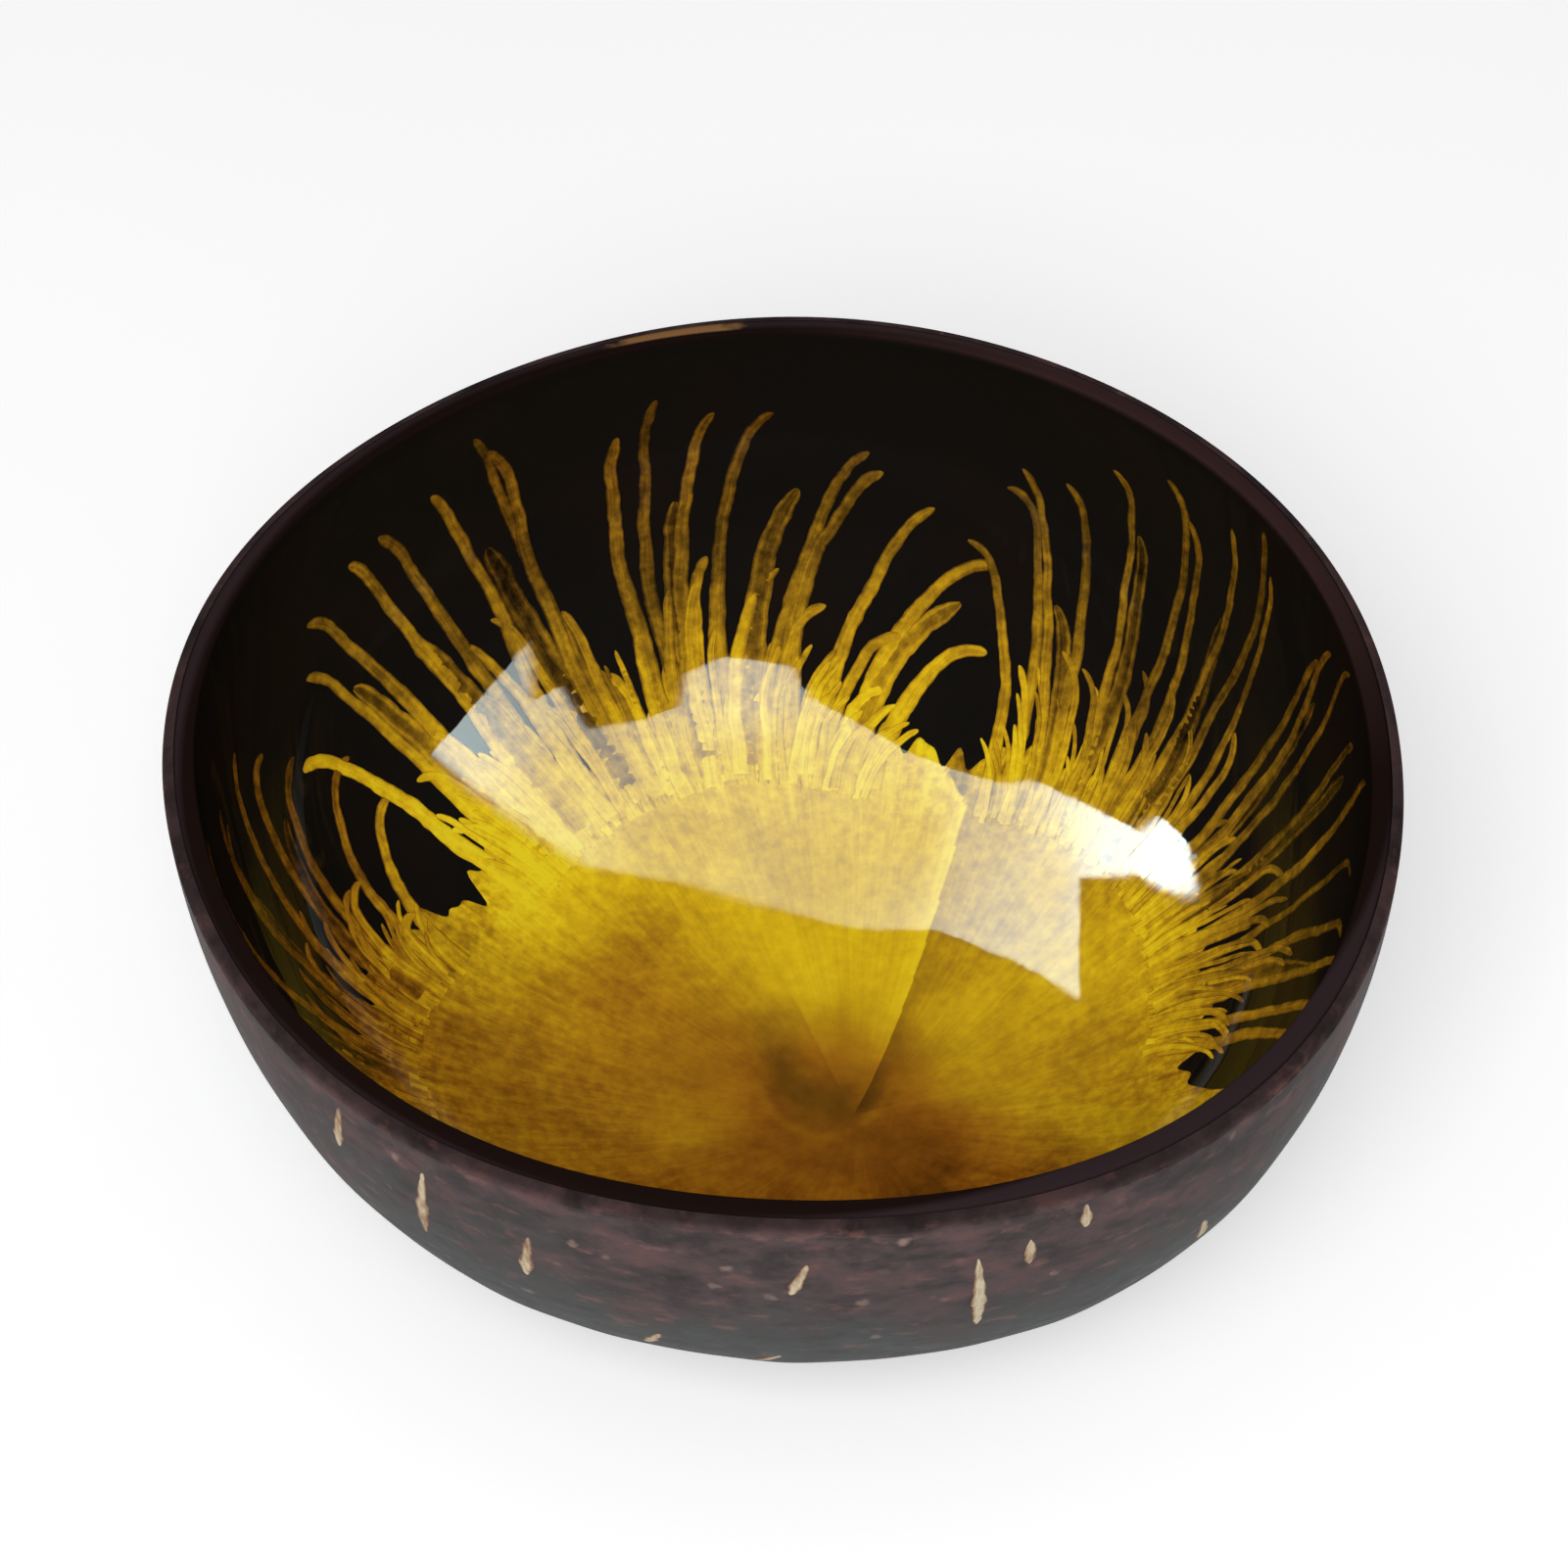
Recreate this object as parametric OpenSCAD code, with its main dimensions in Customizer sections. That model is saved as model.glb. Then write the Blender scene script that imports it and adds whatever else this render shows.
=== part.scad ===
// Coconut shell bowl: a sawn half shell with a black lacquer lining,
// gold feather strokes and a clear gloss coat.
// The origin is the centre of the resting face, and +Z points up through the mouth.

/* [Shell] */
// Outside diameter of the shell at its sawn rim
rim_diameter = 135; // [115:1:150]
// Height of the shell from its resting face to its sawn rim
shell_height = 57; // [50:1:66]
// Diameter of the resting face ground on the round bottom
foot_diameter = 54; // [44:1:60]
// Thickness of the shell at its rim
wall = 3; // [2.8:0.1:5]
// Thickness of the shell at its bottom
floor_thickness = 4; // [3.5:0.1:7]
// Width of the bevel that eases the rim's outer edge
rim_bevel = 0.8; // [0.4:0.1:1]
// Fullness of the outer skin, where 2 is a plain oval and more is a fuller belly
skin_fullness = 3; // [2.8:0.1:3.4]
// Fullness of the hollow, where 2 is a plain oval and more is a squarer one
hollow_fullness = 2.4; // [2.1:0.1:2.4]

/* [Fibre streaks] */
// Width of a fibre streak left in the polished skin
streak_width = 1.3; // [0.8:0.1:2]
// Length of the longest fibre streak
streak_length = 16; // [10:0.5:20]
// Depth to which a fibre streak lies in the skin
streak_depth = 0.4; // [0.3:0.1:0.8]

/* [Lacquer coats] */
// Thickness of the black ground coat on the inside and on the rim
ground_thickness = 0.3; // [0.2:0.05:0.5]
// Thickness of the gold feather strokes
gold_thickness = 0.15; // [0.1:0.05:0.3]
// Thickness of the clear coat over the gold strokes
clear_thickness = 0.25; // [0.15:0.05:0.5]
// Width of bare shell outside the black band on the rim
bare_edge = 1.3; // [1.1:0.1:1.6]

/* [Feather fans] */
// Number of feather fans around the bottom
fan_count = 4; // [3:1:5]
// Number of strokes in each fan
fan_strokes = 15; // [9:1:17]
// Width of a stroke where it leaves its fan
stroke_width = 2.7; // [1.6:0.1:2.9]
// Direction in which the first fan points
first_fan_angle = 22; // [0:1:90]

/* [Hidden] */

// Run of a cutting shape past what it cuts
overrun = 2;
// Straight bands that stand for a curved side, from its pole to the rim
side_bands = 26;
// Smoothness of every turned surface
round_steps = 120;

rim_radius = rim_diameter / 2;
foot_radius = foot_diameter / 2;
mouth_radius = rim_radius - wall;
cavity_depth = shell_height - floor_thickness;
// Angle up the side at which the resting face cuts the outer skin
foot_angle = asin(pow(foot_radius / rim_radius, skin_fullness / 2));
// Depth that the skin would have if its round bottom weren't ground away
full_depth = shell_height / cos(foot_angle);
gold_top = ground_thickness + gold_thickness;
clear_top = gold_top + clear_thickness;
coated_rim = shell_height + ground_thickness;

// Each fibre streak: share of a turn, share of the height, share of the
// longest length and share of a quarter turn that it leans
streak_shares = [
    [0.653, 0.79, 0.89, -0.11], [0.682, 0.76, 0.59, -0.11], [0.751, 0.84, 0.40, -0.18],
    [0.795, 0.73, 1.00, 0.05], [0.710, 0.47, 0.40, -0.25], [0.742, 0.42, 0.35, -0.34],
    [0.628, 0.88, 0.55, -0.14], [0.819, 0.93, 0.25, 0.04], [0.806, 0.86, 0.30, 0.02],
    [0.905, 0.36, 0.60, 0.06], [0.965, 0.66, 0.75, -0.08], [0.040, 0.34, 0.50, 0.05],
    [0.118, 0.74, 0.65, 0.16], [0.190, 0.44, 0.85, -0.06], [0.262, 0.24, 0.45, 0.10],
    [0.335, 0.70, 0.90, 0.03], [0.412, 0.38, 0.55, -0.04], [0.487, 0.60, 0.70, 0.22],
    [0.556, 0.28, 0.50, -0.09], [0.860, 0.62, 0.40, 0.18]
];
// Shares of a streak's half length and of its half width at which it tapers
taper_length_share = 0.55;
taper_width_share = 0.80;

// Share of the way up the side at which a fan's middle strokes part
root_share = 0.52;
// Share by which a fan's outermost strokes part lower than its middle ones
root_fall_share = 0.12;
// Share of the way up the side that the longest stroke reaches
reach_share = 0.90;
// Share by which a fan's outermost strokes fall short of its longest
reach_fall_share = 0.14;
// Share of a fan's room around the bowl that its strokes fill
spread_share = 0.80;
// Share of a fan's room by which its outermost stroke curls over
curl_share = 0.08;
// Shares of a stroke's length at which its outline is set
along_shares = [0, 0.35, 0.72];
// Shares of reach that the strokes of a fan gain or lose in turn
uneven_shares = [0, -0.05, 0.01, -0.08, -0.02];

// Point of the outer skin, laid in by an inset, at an angle up the side
function skin_point(angle, inset) = [
    (rim_radius - inset) * pow(sin(angle), 2 / skin_fullness),
    shell_height - (full_depth - inset) * cos(angle)
];

// Point of the hollow, laid in by an inset, at a share of the way up the side
function hollow_point(share, inset) = [
    (mouth_radius - inset) * pow(sin(90 * share), 2 / hollow_fullness),
    shell_height - (cavity_depth - inset) * pow(cos(90 * share), 2 / hollow_fullness)
];

// Points of the hollow from its bottom to the rim
function hollow_side(inset) = [
    for (step = [0:side_bands]) hollow_point(step / side_bands, inset)
];

// The list in the opposite order
function reversed(points) = [
    for (index = [len(points) - 1:-1:0]) points[index]
];

// Angle at which the skin, laid in by an inset, meets a height
function skin_angle(height, inset) =
    acos((shell_height - height) / (full_depth - inset));

// Turned body of the outer skin, from the resting face to the rim
module skin_body() {
    side = [
        for (step = [0:side_bands])
            skin_point(foot_angle + (90 - foot_angle) * step / side_bands, 0)
    ];
    belly = [for (point = side) if (point[1] < shell_height - rim_bevel) point];
    rotate_extrude($fn = round_steps)
        polygon(concat(
            [[0, 0]],
            belly,
            [
                [rim_radius, shell_height - rim_bevel],
                [rim_radius - rim_bevel, shell_height],
                [0, shell_height]
            ]
        ));
}

// Turned body under the skin, run past the resting face and the rim
module skin_core(inset) {
    start = skin_angle(0, inset);
    side = [
        for (step = [0:side_bands])
            skin_point(start + (90 - start) * step / side_bands, inset)
    ];
    rotate_extrude($fn = round_steps)
        polygon(concat(
            [[0, -overrun], [side[0][0], -overrun]],
            side,
            [
                [rim_radius - inset, shell_height + overrun],
                [0, shell_height + overrun]
            ]
        ));
}

// Turned body of the hollow, run past the rim
module hollow_core(inset) {
    rotate_extrude($fn = round_steps)
        polygon(concat(
            hollow_side(inset),
            [
                [mouth_radius - inset, shell_height + overrun],
                [0, shell_height + overrun]
            ]
        ));
}

// Outline of a fibre streak: a slim spindle with pointed ends
function spindle(half_width, half_length) =
    let (
        side = half_width * taper_width_share,
        end = half_length * taper_length_share
    )
    [
        [0, -half_length], [side, -end], [half_width, 0], [side, end],
        [0, half_length], [-side, end], [-half_width, 0], [-side, -end]
    ];

// Bars that run out through the skin where the fibre streaks lie
module streak_bars() {
    for (streak = streak_shares)
        rotate([0, 0, 360 * streak[0]])
            translate([foot_radius / 2, 0, shell_height * streak[1]])
                rotate([90 * streak[3], 0, 0])
                    rotate([90, 0, 90])
                        linear_extrude(height = rim_radius)
                            polygon(spindle(streak_width / 2, streak_length * streak[2] / 2));
}

// Point of the fans' outline, at a turn and a share up the side, moved sideways
function fan_point(turn, share, aside) =
    let (radius = hollow_point(share, ground_thickness)[0])
    [
        radius * cos(turn) - aside * sin(turn),
        radius * sin(turn) + aside * cos(turn)
    ];

// One side of a stroke from its root, where the hand is -1 or 1
function stroke_side(turn, curl, root, reach, hand) = [
    for (along = along_shares)
        fan_point(
            turn + curl * along * along,
            root + (reach - root) * along,
            hand * stroke_width / 2 * (1 - along * along)
        )
];

// Outline of one stroke: out along its near side, round its tip and back
function stroke_outline(turn, curl, root, reach) = concat(
    stroke_side(turn, curl, root, reach, -1),
    [fan_point(turn + curl, reach, 0)],
    reversed(stroke_side(turn, curl, root, reach, 1))
);

// Outline of all the fans, stroke after stroke around the bowl
function fans_outline() = [
    for (fan = [0:fan_count - 1])
        for (stroke = [0:fan_strokes - 1])
            let (
                room = 360 / fan_count,
                side = 2 * stroke / (fan_strokes - 1) - 1,
                turn = first_fan_angle + room * (fan + side * spread_share / 2),
                root = root_share - root_fall_share * side * side,
                reach = reach_share - reach_fall_share * side * side
                    + uneven_shares[(fan + stroke) % len(uneven_shares)]
            )
            each stroke_outline(turn, room * curl_share * side, root, reach)
];

// Upright prism of the fans' outline
module fans_prism() {
    linear_extrude(height = shell_height)
        polygon(fans_outline());
}

// Half of a coconut shell, sawn, ground flat below and polished outside
module shell() {
    color("#4a3538")
        difference() {
            skin_body();
            hollow_core(0);
            difference() {
                streak_bars();
                skin_core(streak_depth);
            }
        }
}

// Tan fibres that the polishing left flush in the shell's skin
module fibre_streaks() {
    color("#c8a67c")
        difference() {
            intersection() {
                skin_body();
                streak_bars();
            }
            skin_core(streak_depth);
        }
}

// Black lacquer that lines the hollow and turns over the sawn rim
module ground_coat() {
    color("#14110f")
        rotate_extrude($fn = round_steps)
            polygon(concat(
                hollow_side(0),
                [
                    [rim_radius - bare_edge, shell_height],
                    [rim_radius - bare_edge, coated_rim],
                    [mouth_radius - ground_thickness, coated_rim]
                ],
                reversed(hollow_side(ground_thickness))
            ));
}

// Gold lacquer brushed from the bottom outwards in fans of strokes
module gold_feathers() {
    color("#e0b818")
        difference() {
            intersection() {
                hollow_core(ground_thickness);
                fans_prism();
            }
            hollow_core(gold_top);
        }
}

// Clear lacquer over the ground coat and the gold strokes
module clear_topcoat() {
    color([0.95, 0.93, 0.85, 0.3])
        difference() {
            rotate_extrude($fn = round_steps)
                polygon(concat(
                    hollow_side(ground_thickness),
                    [
                        [mouth_radius - ground_thickness, coated_rim],
                        [mouth_radius - clear_top, coated_rim]
                    ],
                    reversed(hollow_side(clear_top))
                ));
            difference() {
                fans_prism();
                hollow_core(gold_top);
            }
        }
}

shell();
fibre_streaks();
ground_coat();
gold_feathers();
clear_topcoat();
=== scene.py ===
"""Coconut shell bowl: half a coconut shell with a black lacquer lining and brushed gold feather fans."""

import logging
import math
from dataclasses import dataclass
from enum import Enum

import bmesh
import bpy
import numpy as np
from mathutils import Matrix, Vector, geometry


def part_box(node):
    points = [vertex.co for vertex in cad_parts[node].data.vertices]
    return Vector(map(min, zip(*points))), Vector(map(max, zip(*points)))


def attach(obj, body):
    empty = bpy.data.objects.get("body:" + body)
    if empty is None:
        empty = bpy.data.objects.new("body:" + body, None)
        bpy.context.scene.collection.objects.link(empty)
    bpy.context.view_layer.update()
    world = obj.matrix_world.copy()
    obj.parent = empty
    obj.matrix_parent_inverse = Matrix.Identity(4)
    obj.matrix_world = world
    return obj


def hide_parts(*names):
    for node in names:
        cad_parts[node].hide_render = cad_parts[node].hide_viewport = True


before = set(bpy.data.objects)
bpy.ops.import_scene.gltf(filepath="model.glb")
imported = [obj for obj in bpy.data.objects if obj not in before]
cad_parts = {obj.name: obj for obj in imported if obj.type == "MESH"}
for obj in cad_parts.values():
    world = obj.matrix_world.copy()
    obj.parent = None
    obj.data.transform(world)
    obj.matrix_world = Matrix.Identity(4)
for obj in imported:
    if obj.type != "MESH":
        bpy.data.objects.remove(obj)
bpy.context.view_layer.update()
ROOT = "root"
MM = 0.001
RIGHT_ANGLE = math.pi / 2
LOG = logging.getLogger("coconut_bowl")


def linear(code: str) -> tuple[float, float, float, float]:
    """Turn an sRGB hex colour into a linear one.

    Args:
        code: Colour as "#rrggbb".

    Returns:
        Linear red, green, blue and an alpha of 1.
    """
    parts = [int(code[i : i + 2], 16) / 255 for i in (1, 3, 5)]
    flat = [p / 12.92 if p <= 0.04045 else ((p + 0.055) / 1.055) ** 2.4 for p in parts]
    return (*flat, 1.0)


def ramp(value: np.ndarray | float, start: np.ndarray | float, end: np.ndarray | float) -> np.ndarray:
    """Give how far values are on the way from a start to an end.

    Args:
        value: The values.
        start: Value at which the way begins.
        end: Value at which it ends, which may be the lower one.

    Returns:
        Shares of the way, from 0 to 1.
    """
    return np.clip((value - start) / (end - start), 0, 1)


class Wiring:
    """Adds nodes with their settings and links to one node tree."""

    def __init__(self, tree: bpy.types.NodeTree) -> None:
        """Keep the tree that is wired."""
        self.tree = tree

    def feed(self, node: bpy.types.Node, inputs: dict) -> None:
        """Set or link a node's inputs.

        Args:
            node: The node.
            inputs: Values, hex colours or sockets, by the input's name or place.
        """
        for key, value in inputs.items():
            if isinstance(value, bpy.types.NodeSocket):
                self.tree.links.new(value, node.inputs[key])
            elif isinstance(value, str) and value.startswith("#"):
                node.inputs[key].default_value = linear(value)
            else:
                node.inputs[key].default_value = value

    def add(
        self,
        kind: str,
        inputs: dict | None = None,
        out: int | str = 0,
        stops: tuple = (),
        **settings: object,
    ) -> bpy.types.NodeSocket | None:
        """Add a node.

        Args:
            kind: The node's type, without its first words where it is a shader node.
            inputs: What the node's inputs are set or linked to.
            out: Name or place of the output that is given back.
            stops: Places and hex colours, where the node is a colour ramp.
            settings: Properties of the node.

        Returns:
            That output, or None where the node has none.
        """
        node = self.tree.nodes.new(kind if "Node" in kind else "ShaderNode" + kind)
        for name, value in settings.items():
            setattr(node, name, value)
        if stops:
            colours = node.color_ramp
            while len(colours.elements) < len(stops):
                colours.elements.new(1.0)
            for element, (place, code) in zip(colours.elements, stops):
                element.position = place
                element.color = linear(code)
        self.feed(node, inputs or {})
        return node.outputs[out] if len(node.outputs) else None


def new_material(
    name: str, kind: str = "BsdfPrincipled"
) -> tuple[bpy.types.Material, Wiring, bpy.types.Node]:
    """Make a material with one bare shader.

    Args:
        name: The material's name.
        kind: The shader's type.

    Returns:
        The material, its wiring and its shader.
    """
    material = bpy.data.materials.new(name)
    material.use_nodes = True
    material.node_tree.nodes.clear()
    wiring = Wiring(material.node_tree)
    surface = wiring.add(kind)
    wiring.add("OutputMaterial", {"Surface": surface})
    return material, wiring, surface.node


@dataclass(frozen=True)
class PhotoCamera:
    """The photograph's camera, found from the rim and the outline."""

    elevation: float = math.radians(47.49)
    roll: float = math.radians(0.82)
    focal_pixels: float = 4441.0
    image_pixels: float = 1601.0
    sensor: float = 36.0
    distance: float = 470 * MM
    aside: float = -0.39 * MM
    above: float = -5.67 * MM
    near_clip: float = 10 * MM

    def axes(self) -> tuple[np.ndarray, np.ndarray, np.ndarray]:
        """Return the camera's right, up and backward directions before its roll."""
        low, high = math.sin(self.elevation), math.cos(self.elevation)
        return np.array([1.0, 0.0, 0.0]), np.array([0.0, low, high]), np.array([0.0, -high, low])

    def eye(self, rim_height: float) -> np.ndarray:
        """Return the camera's place for a rim at a height."""
        right, up, back = self.axes()
        aim = np.array([0.0, 0.0, rim_height])
        return aim + back * self.distance + right * self.aside + up * self.above

    def ray(self, pixel: tuple[float, float]) -> np.ndarray:
        """Give the direction in which the camera sees a pixel.

        Args:
            pixel: Column and row in the photograph.

        Returns:
            A direction of length 1.
        """
        right, up, back = self.axes()
        middle = self.image_pixels / 2
        column, row = pixel[0] - middle, middle - pixel[1]
        turn, lean = math.cos(self.roll), math.sin(self.roll)
        across = (turn * column + lean * row) / self.focal_pixels
        along = (turn * row - lean * column) / self.focal_pixels
        way = right * across + up * along - back
        return way / np.linalg.norm(way)

    def build(self, rim_height: float) -> bpy.types.Object:
        """Make the camera and set it as the scene's own.

        Args:
            rim_height: Height of the bowl's rim.

        Returns:
            The camera object.
        """
        right, up, back = self.axes()
        turn, lean = math.cos(self.roll), math.sin(self.roll)
        columns = (turn * right - lean * up, lean * right + turn * up, back)
        data = bpy.data.cameras.new("photo_camera")
        data.sensor_width = self.sensor
        data.lens = self.sensor * self.focal_pixels / self.image_pixels
        data.clip_start = self.near_clip
        camera = bpy.data.objects.new("photo_camera", data)
        bpy.context.scene.collection.objects.link(camera)
        matrix = Matrix([[c[i] for c in columns] for i in range(3)]).to_4x4()
        matrix.translation = Vector(self.eye(rim_height))
        camera.matrix_world = matrix
        bpy.context.scene.camera = camera
        return camera


@dataclass
class BowlForm:
    """The bowl's surfaces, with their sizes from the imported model.

    The nut is slightly out of round: each pair in lobes is the cosine and sine
    share of a wave that runs twice, three times and so on around the rim. The
    ripples run around the skin and the waves over the scraped hollow, each with
    its counts, its phase and its size. The flat is a shallow scrape at one place.
    """

    rim_radius: float
    rim_height: float
    coated_rim: float
    coat_radius: float
    mouth_radius: float
    floor: float
    foot_radius: float
    skin_fullness: float = 3.0
    hollow_fullness: float = 2.4
    coat: float = 0.55 * MM
    lobes: tuple = ((-0.0042, -0.0129), (-0.0098, -0.0045), (-0.0052, -0.0011), (-0.0009, 0.0059))
    ripples: tuple = ((9, 0.10, 0.4), (14, 0.07, 2.1), (23, 0.05, 4.0), (37, 0.03, 1.2))
    ripple_size: float = 1.0 * MM
    ripple_twist: float = 2.5
    waves: tuple = ((3, 2.0, 0.6, 0.05), (5, 3.1, 2.2, 0.035), (8, 4.3, 4.1, 0.02))
    wave_rise: float = 3.0
    flat_turn: float = math.radians(10.0)
    flat_turn_width: float = math.radians(13.0)
    flat_share: float = 0.54
    flat_share_width: float = 0.085
    flat_depth: float = 0.55 * MM
    sight: tuple = (360 * MM, 620 * MM, 9000)

    @classmethod
    def from_frame(cls) -> "BowlForm":
        """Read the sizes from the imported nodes.

        Returns:
            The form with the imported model's sizes.
        """
        low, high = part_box("shell")
        coat_low, coat_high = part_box("ground_coat")
        top_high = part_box("clear_topcoat")[1]
        skin = np.array([v.co[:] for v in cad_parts["shell"].data.vertices])
        face = skin[skin[:, 2] < low.z + 0.01 * MM]
        return cls(
            rim_radius=high.x,
            rim_height=high.z,
            coated_rim=coat_high.z,
            coat_radius=coat_high.x,
            mouth_radius=top_high.x + coat_high.z - high.z,
            floor=coat_low.z,
            foot_radius=float(np.hypot(face[:, 0], face[:, 1]).max()),
        )

    @property
    def lining_radius(self) -> float:
        """Radius of the lacquered hollow at the rim."""
        return self.mouth_radius - self.coat

    @property
    def lining_depth(self) -> float:
        """Depth of the lacquered hollow below the rim."""
        return self.rim_height - self.floor - self.coat

    def section(self, turn: np.ndarray) -> np.ndarray:
        """Return the share of a round nut's radius that this one has at a turn."""
        total = np.ones_like(turn)
        for count, (cosine, sine) in enumerate(self.lobes, 2):
            total = total + cosine * np.cos(count * turn) + sine * np.sin(count * turn)
        return total

    def ring(self, turn: np.ndarray, radius: float, height: float) -> np.ndarray:
        """Give a level ring that follows the nut's section.

        Args:
            turn: Angles around the axis.
            radius: The ring's radius on a round nut.
            height: The ring's height.

        Returns:
            The ring's points.
        """
        wide = radius * self.section(turn)
        return np.stack([wide * np.cos(turn), wide * np.sin(turn), np.full_like(turn, height)], -1)

    def bare_rings(self, turn: np.ndarray, shares: np.ndarray, inset: float) -> list:
        """Give rings of the bare shell's hollow, which lies under the lacquer.

        Args:
            turn: Angles around the axis.
            shares: Shares of the way from the bottom to the rim.
            inset: Distance into the hollow.

        Returns:
            One ring of points for each share.
        """
        power, rings = 2 / self.hollow_fullness, []
        for angle in shares * RIGHT_ANGLE:
            depth = (self.rim_height - self.floor - inset) * max(math.cos(angle), 0) ** power
            radius = (self.mouth_radius - inset) * math.sin(angle) ** power
            rings.append(self.ring(turn, radius, self.rim_height - depth))
        return rings

    def skin(self, turn: np.ndarray, climb: np.ndarray) -> np.ndarray:
        """Place points on the outer skin.

        Args:
            turn: Angle around the axis.
            climb: Share of the way from the resting face's edge to the rim.

        Returns:
            The points, with the coordinates last.
        """
        power = 2 / self.skin_fullness
        start = math.asin((self.foot_radius / self.rim_radius) ** (1 / power))
        angle = start + (RIGHT_ANGLE - start) * climb
        depth = self.rim_height / math.cos(start)
        ridge = sum(a * np.cos(n * turn + p + self.ripple_twist * climb) for n, a, p in self.ripples)
        swell = self.ripple_size * ridge * np.sin(math.pi * climb)
        radius = (self.rim_radius + swell) * np.sin(angle) ** power * self.section(turn)
        height = self.rim_height - depth * np.cos(angle)
        return np.stack([radius * np.cos(turn), radius * np.sin(turn), height], -1)

    def unevenness(self, turn: np.ndarray, share: np.ndarray) -> np.ndarray:
        """Give the scraped hollow's unevenness.

        Args:
            turn: Angle around the axis.
            share: Share of the way up the hollow's side.

        Returns:
            Distance by which the surface stands into the hollow.
        """
        rise = share * self.wave_rise
        wave = sum(a * np.cos(n * turn + p) * np.cos(m * rise + p) for n, m, p, a in self.waves)
        total = MM * wave * np.sin(math.pi * np.clip(share, 0, 1))
        along = (share - self.flat_share) / self.flat_share_width
        aside = (np.mod(turn - self.flat_turn + math.pi, 2 * math.pi) - math.pi) / self.flat_turn_width
        return total - self.flat_depth * along * np.exp(-(along**2) / 2 - aside**2 / 2)

    def hollow(self, turn: np.ndarray, share: np.ndarray, lift: np.ndarray | float = 0.0) -> np.ndarray:
        """Place points on the lacquered hollow.

        Args:
            turn: Angle around the axis.
            share: Share of the way from the bottom to the rim.
            lift: Distance in from the lacquer's surface.

        Returns:
            The points, with the coordinates last.
        """
        power = 2 / self.hollow_fullness
        angle = np.clip(share, 0, 1) * RIGHT_ANGLE
        reach = self.lining_radius * self.section(turn)
        sine, cosine = np.sin(angle) ** power, np.maximum(np.cos(angle), 0) ** power
        radius, height = reach * sine, self.rim_height - self.lining_depth * cosine
        out = sine ** (self.hollow_fullness - 1) / reach
        down = cosine ** (self.hollow_fullness - 1) / self.lining_depth
        length = np.hypot(out, down)
        step = lift + self.unevenness(turn, share)
        radius = radius - step * out / length
        height = height + step * down / length
        return np.stack([radius * np.cos(turn), radius * np.sin(turn), height], -1)

    def hollow_place(self, plan: np.ndarray) -> tuple[np.ndarray, np.ndarray]:
        """Find the turn and share of plan points on the hollow.

        Args:
            plan: Points seen from above, with the coordinates last.

        Returns:
            The turns and the shares.
        """
        turn = np.arctan2(plan[..., 1], plan[..., 0])
        out = np.hypot(plan[..., 0], plan[..., 1]) / (self.lining_radius * self.section(turn))
        share = np.arcsin(np.clip(out, 0, 1) ** (self.hollow_fullness / 2)) / RIGHT_ANGLE
        return turn, share

    def hollow_normal(self, turn: np.ndarray, share: np.ndarray, step: float = 1e-3) -> np.ndarray:
        """Give the directions in which the lacquer faces into the hollow.

        Args:
            turn: Angle around the axis.
            share: Share of the way up the hollow's side.
            step: Change of turn and share over which the slope is taken.

        Returns:
            Directions of length 1.
        """
        around = self.hollow(turn + step, share) - self.hollow(turn - step, share)
        up = self.hollow(turn, np.minimum(share + step, 1)) - self.hollow(turn, share - step)
        normal = np.cross(up, around)
        return normal / np.linalg.norm(normal, axis=-1, keepdims=True)

    def meet_hollow(self, eye: np.ndarray, way: np.ndarray) -> tuple[float, float]:
        """Follow a ray that comes in through the mouth to the hollow.

        Args:
            eye: The ray's start.
            way: The ray's direction.

        Returns:
            Turn and share where it meets the hollow.
        """
        points = eye + way * np.linspace(*self.sight)[:, None]
        turn = np.arctan2(points[:, 1], points[:, 0])
        out = np.hypot(points[:, 0], points[:, 1]) / (self.lining_radius * self.section(turn))
        down = np.clip((self.rim_height - points[:, 2]) / self.lining_depth, 0, None)
        inside = out**self.hollow_fullness + down**self.hollow_fullness < 1
        inside &= points[:, 2] < self.rim_height
        first = int(np.argmax(inside))
        last = first + int(np.argmax(~inside[first:]))
        share = math.acos(min(down[last], 1.0) ** (self.hollow_fullness / 2)) / RIGHT_ANGLE
        return float(turn[last]), share


def turns(count: int) -> np.ndarray:
    """Return evenly spaced angles around the axis."""
    return np.arange(count) * (2 * math.pi / count)


def mesh_object(
    name: str, points: np.ndarray, faces: list, material: bpy.types.Material
) -> bpy.types.Object:
    """Make a smooth mesh object.

    Args:
        name: The piece's name.
        points: Vertices, one row each.
        faces: Vertex numbers of each face.
        material: The piece's material.

    Returns:
        The object, at the origin.
    """
    mesh = bpy.data.meshes.new(name)
    mesh.from_pydata(points.tolist(), [], faces)
    mesh.shade_smooth()
    mesh.materials.append(material)
    mesh.update()
    piece = bpy.data.objects.new(name, mesh)
    bpy.context.scene.collection.objects.link(piece)
    return piece


def turned_faces(rows: int, count: int) -> list:
    """Join rings of points between two poles.

    Args:
        rows: Number of rings.
        count: Points in each ring.

    Returns:
        Faces, where the poles follow the last ring's points.
    """
    index = np.arange(rows * count).reshape(rows, count)
    after = np.roll(index, -1, axis=1)
    quads = np.stack([index[:-1], after[:-1], after[1:], index[1:]], -1).reshape(-1, 4)
    first, last = rows * count, rows * count + 1
    start = [(first, b, a) for a, b in zip(index[0].tolist(), after[0].tolist())]
    end = [(last, a, b) for a, b in zip(index[-1].tolist(), after[-1].tolist())]
    return quads.tolist() + start + end


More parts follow.
